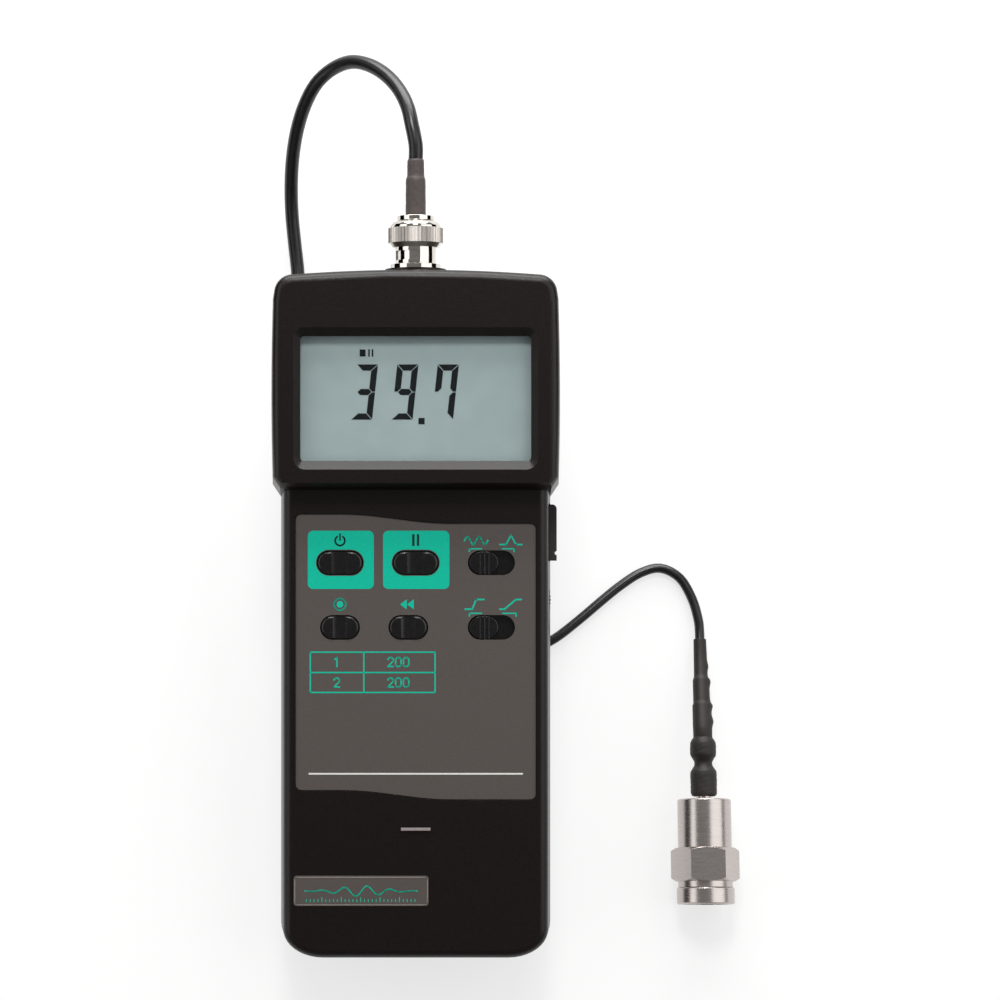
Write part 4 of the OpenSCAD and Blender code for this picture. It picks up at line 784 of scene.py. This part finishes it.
# Ruled table of the ranges
TABLE_LEFT, TABLE_DIVIDE, TABLE_RIGHT = -27.22, -13.4, 5.0
TABLE_LOW, TABLE_MIDDLE, TABLE_HIGH = 70.0, 75.15, 80.4
table_frame = [
    (TABLE_LEFT, TABLE_LOW), (TABLE_LEFT, TABLE_HIGH), (TABLE_RIGHT, TABLE_HIGH), (TABLE_RIGHT, TABLE_LOW)]
table_lines = (
    stroke(table_frame, FINE, closed=True)
    + stroke([(TABLE_LEFT, TABLE_MIDDLE), (TABLE_RIGHT, TABLE_MIDDLE)], FINE)
    + stroke([(TABLE_DIVIDE, TABLE_LOW), (TABLE_DIVIDE, TABLE_HIGH)], FINE))
key_signs = record_sign(KEY_COLUMN, LOW_SIGN_Y) + recall_sign(RECALL_SIGN_X, LOW_SIGN_Y)
printed("teal_marks", key_signs + slide_signs + pointers + table_lines, PLATE_TOP, TEAL)
printed("white_rule", stroke([(-27.45, 49.0), (27.48, 49.0)], THIN), PLATE_TOP, WHITE)

# Plain figures in the table, drawn two units high
FIGURES = {
    "0": [(0.1, 0.35), (0.1, 1.65), (0.45, 2), (0.95, 2), (1.3, 1.65), (1.3, 0.35), (0.95, 0),
          (0.45, 0), (0.1, 0.35)],
    "1": [(0.3, 1.6), (0.75, 2), (0.75, 0)],
    "2": [(0.1, 1.6), (0.45, 2), (0.95, 2), (1.3, 1.65), (1.3, 1.25), (0.1, 0), (1.3, 0)],
}
FIGURE_STEP = 1.75
FIGURE_SIZE = 1.15
FIGURE_ROWS = (76.7, 71.4)


def figures(signs, x, y):
    """Figures in a row from the left, in fine strokes."""
    outlines = []
    for i, sign in enumerate(signs):
        placed = [
            (x + (i * FIGURE_STEP + px) * FIGURE_SIZE, y + py * FIGURE_SIZE) for px, py in FIGURES[sign]]
        outlines += stroke(placed, FINE)
    return outlines


table_figures = []
for x, column in ((-21.2, ("1", "2")), (-7.3, ("200", "200"))):
    for signs, y in zip(column, FIGURE_ROWS):
        table_figures += figures(signs, x, y)
printed("table_figures", table_figures, PLATE_TOP, TEAL)

# A pale painted highlight along the top of the case's raised bar
printed("bar_painted_highlight", [box_outline(-3.8, 34.45, 3.8, 35.18)], BAR_TOP, PALE_INK_AND_HIGHLIGHT)

# Label plate: a pale line round it, and a ripple that dies away over a row of ticks
LABEL_LINE = 0.16
WAVE_START = -28.5
WAVE_STEP = 0.4
WAVE_STEPS = 72
WAVE_MIDDLE = (-14, 18.8)
WAVE_ZERO = -20
WAVE_HEIGHT = 1.35
WAVE_PACE = 1.05
WAVE_SPREAD = 7.5
TICKS = 29
TICKS_AT = (-28.2, 16.1)
TICK_LENGTH = 0.5
TICK_LINE = 0.2


def wave_y(x):
    """The ripple's height: a sine under a bell curve."""
    sine = math.sin((x - WAVE_ZERO) * WAVE_PACE)
    return WAVE_MIDDLE[1] + WAVE_HEIGHT * sine * math.exp(-((x - WAVE_MIDDLE[0]) / WAVE_SPREAD) ** 2)


label_edge = rounded_outline(-31.2, 15.25, 3.0, 22.35, 0.6)
printed("label_edge", stroke(label_edge, LABEL_LINE, closed=True), LABEL_TOP, PALE_INK_AND_HIGHLIGHT)
wave_x = [WAVE_START + WAVE_STEP * i for i in range(WAVE_STEPS + 1)]
label_wave = [(x, wave_y(x)) for x in wave_x]
ticks = []
for i in range(TICKS):
    x = TICKS_AT[0] + i
    tick_top = TICKS_AT[1] + TICK_LENGTH * (2 if i % 5 == 4 else 1)
    ticks += stroke([(x, TICKS_AT[1]), (x, tick_top)], TICK_LINE)
printed("label_marks", stroke(label_wave, POINTER_LINE) + ticks, LABEL_TOP, TEAL)

# Display figures
SEGMENT_WIDTH = 1.78
SEGMENT_GAP = 0.2
SLANT = 0.108
DIGIT_WIDTH = 5.65
DIGIT_LOW, DIGIT_HIGH = 140.28, 154.65
SEGMENTS = {"3": "abcdg", "9": "abcdfg", "7": "abcf"}


def drawn_in(outline, gap):
    """A convex outline, given clockwise, with every side moved in by a gap."""
    corners = [Vector(p) for p in outline]
    sides = []
    for a, b in zip(corners, corners[1:] + corners[:1]):
        way = (b - a).normalized()
        inward = Vector((way.y, -way.x)) * gap
        sides.append((a + inward, way))
    out = []
    for (a, u), (b, v) in zip(sides[-1:] + sides[:-1], sides):
        turn = u.x * v.y - u.y * v.x
        out.append(a + u * (((b.x - a.x) * v.y - (b.y - a.y) * v.x) / turn))
    return out


def digit(sign, left):
    """A seven-part figure with mitred parts, from its left side at half height."""
    w = SEGMENT_WIDTH
    x0, x1, y0, y2 = left, left + DIGIT_WIDTH, DIGIT_LOW, DIGIT_HIGH
    y1 = (y0 + y2) / 2
    parts = {
        "a": [(x0, y2), (x1, y2), (x1 - w, y2 - w), (x0 + w, y2 - w)],
        "b": [(x1, y2), (x1, y1), (x1 - w / 2, y1), (x1 - w, y1 + w / 2), (x1 - w, y2 - w)],
        "c": [(x1, y1), (x1, y0), (x1 - w, y0 + w), (x1 - w, y1 - w / 2), (x1 - w / 2, y1)],
        "d": [(x1, y0), (x0, y0), (x0 + w, y0 + w), (x1 - w, y0 + w)],
        "f": [(x0, y1), (x0, y2), (x0 + w, y2 - w), (x0 + w, y1 + w / 2), (x0 + w / 2, y1)],
        "g": [(x0 + w / 2, y1), (x0 + w, y1 + w / 2), (x1 - w, y1 + w / 2), (x1 - w / 2, y1),
              (x1 - w, y1 - w / 2), (x0 + w, y1 - w / 2)]}
    drawn = [drawn_in(parts[part], SEGMENT_GAP / 2) for part in SEGMENTS[sign]]
    return [[(p.x + SLANT * (p.y - y1), p.y) for p in outline] for outline in drawn]


shown_digits = digit("3", -16.0) + digit("9", -5.6) + digit("7", 4.8)
decimal_point = box_outline(0.7, 139.2, 2.3, 140.8)
# A small square and two bars over the figures say that the reading is held
HOLD_LINE = 0.4
hold_mark = [box_outline(-14.4, 156.6, -12.9, 158.4)]
for x in (-12.0, -11.1):
    hold_mark += stroke([(x, 156.75), (x, 158.25)], HOLD_LINE)
printed(
    "display_figures", shown_digits + [decimal_point] + hold_mark, DISPLAY_TOP, SEGMENT,
    thick=SEGMENT_RELIEF)
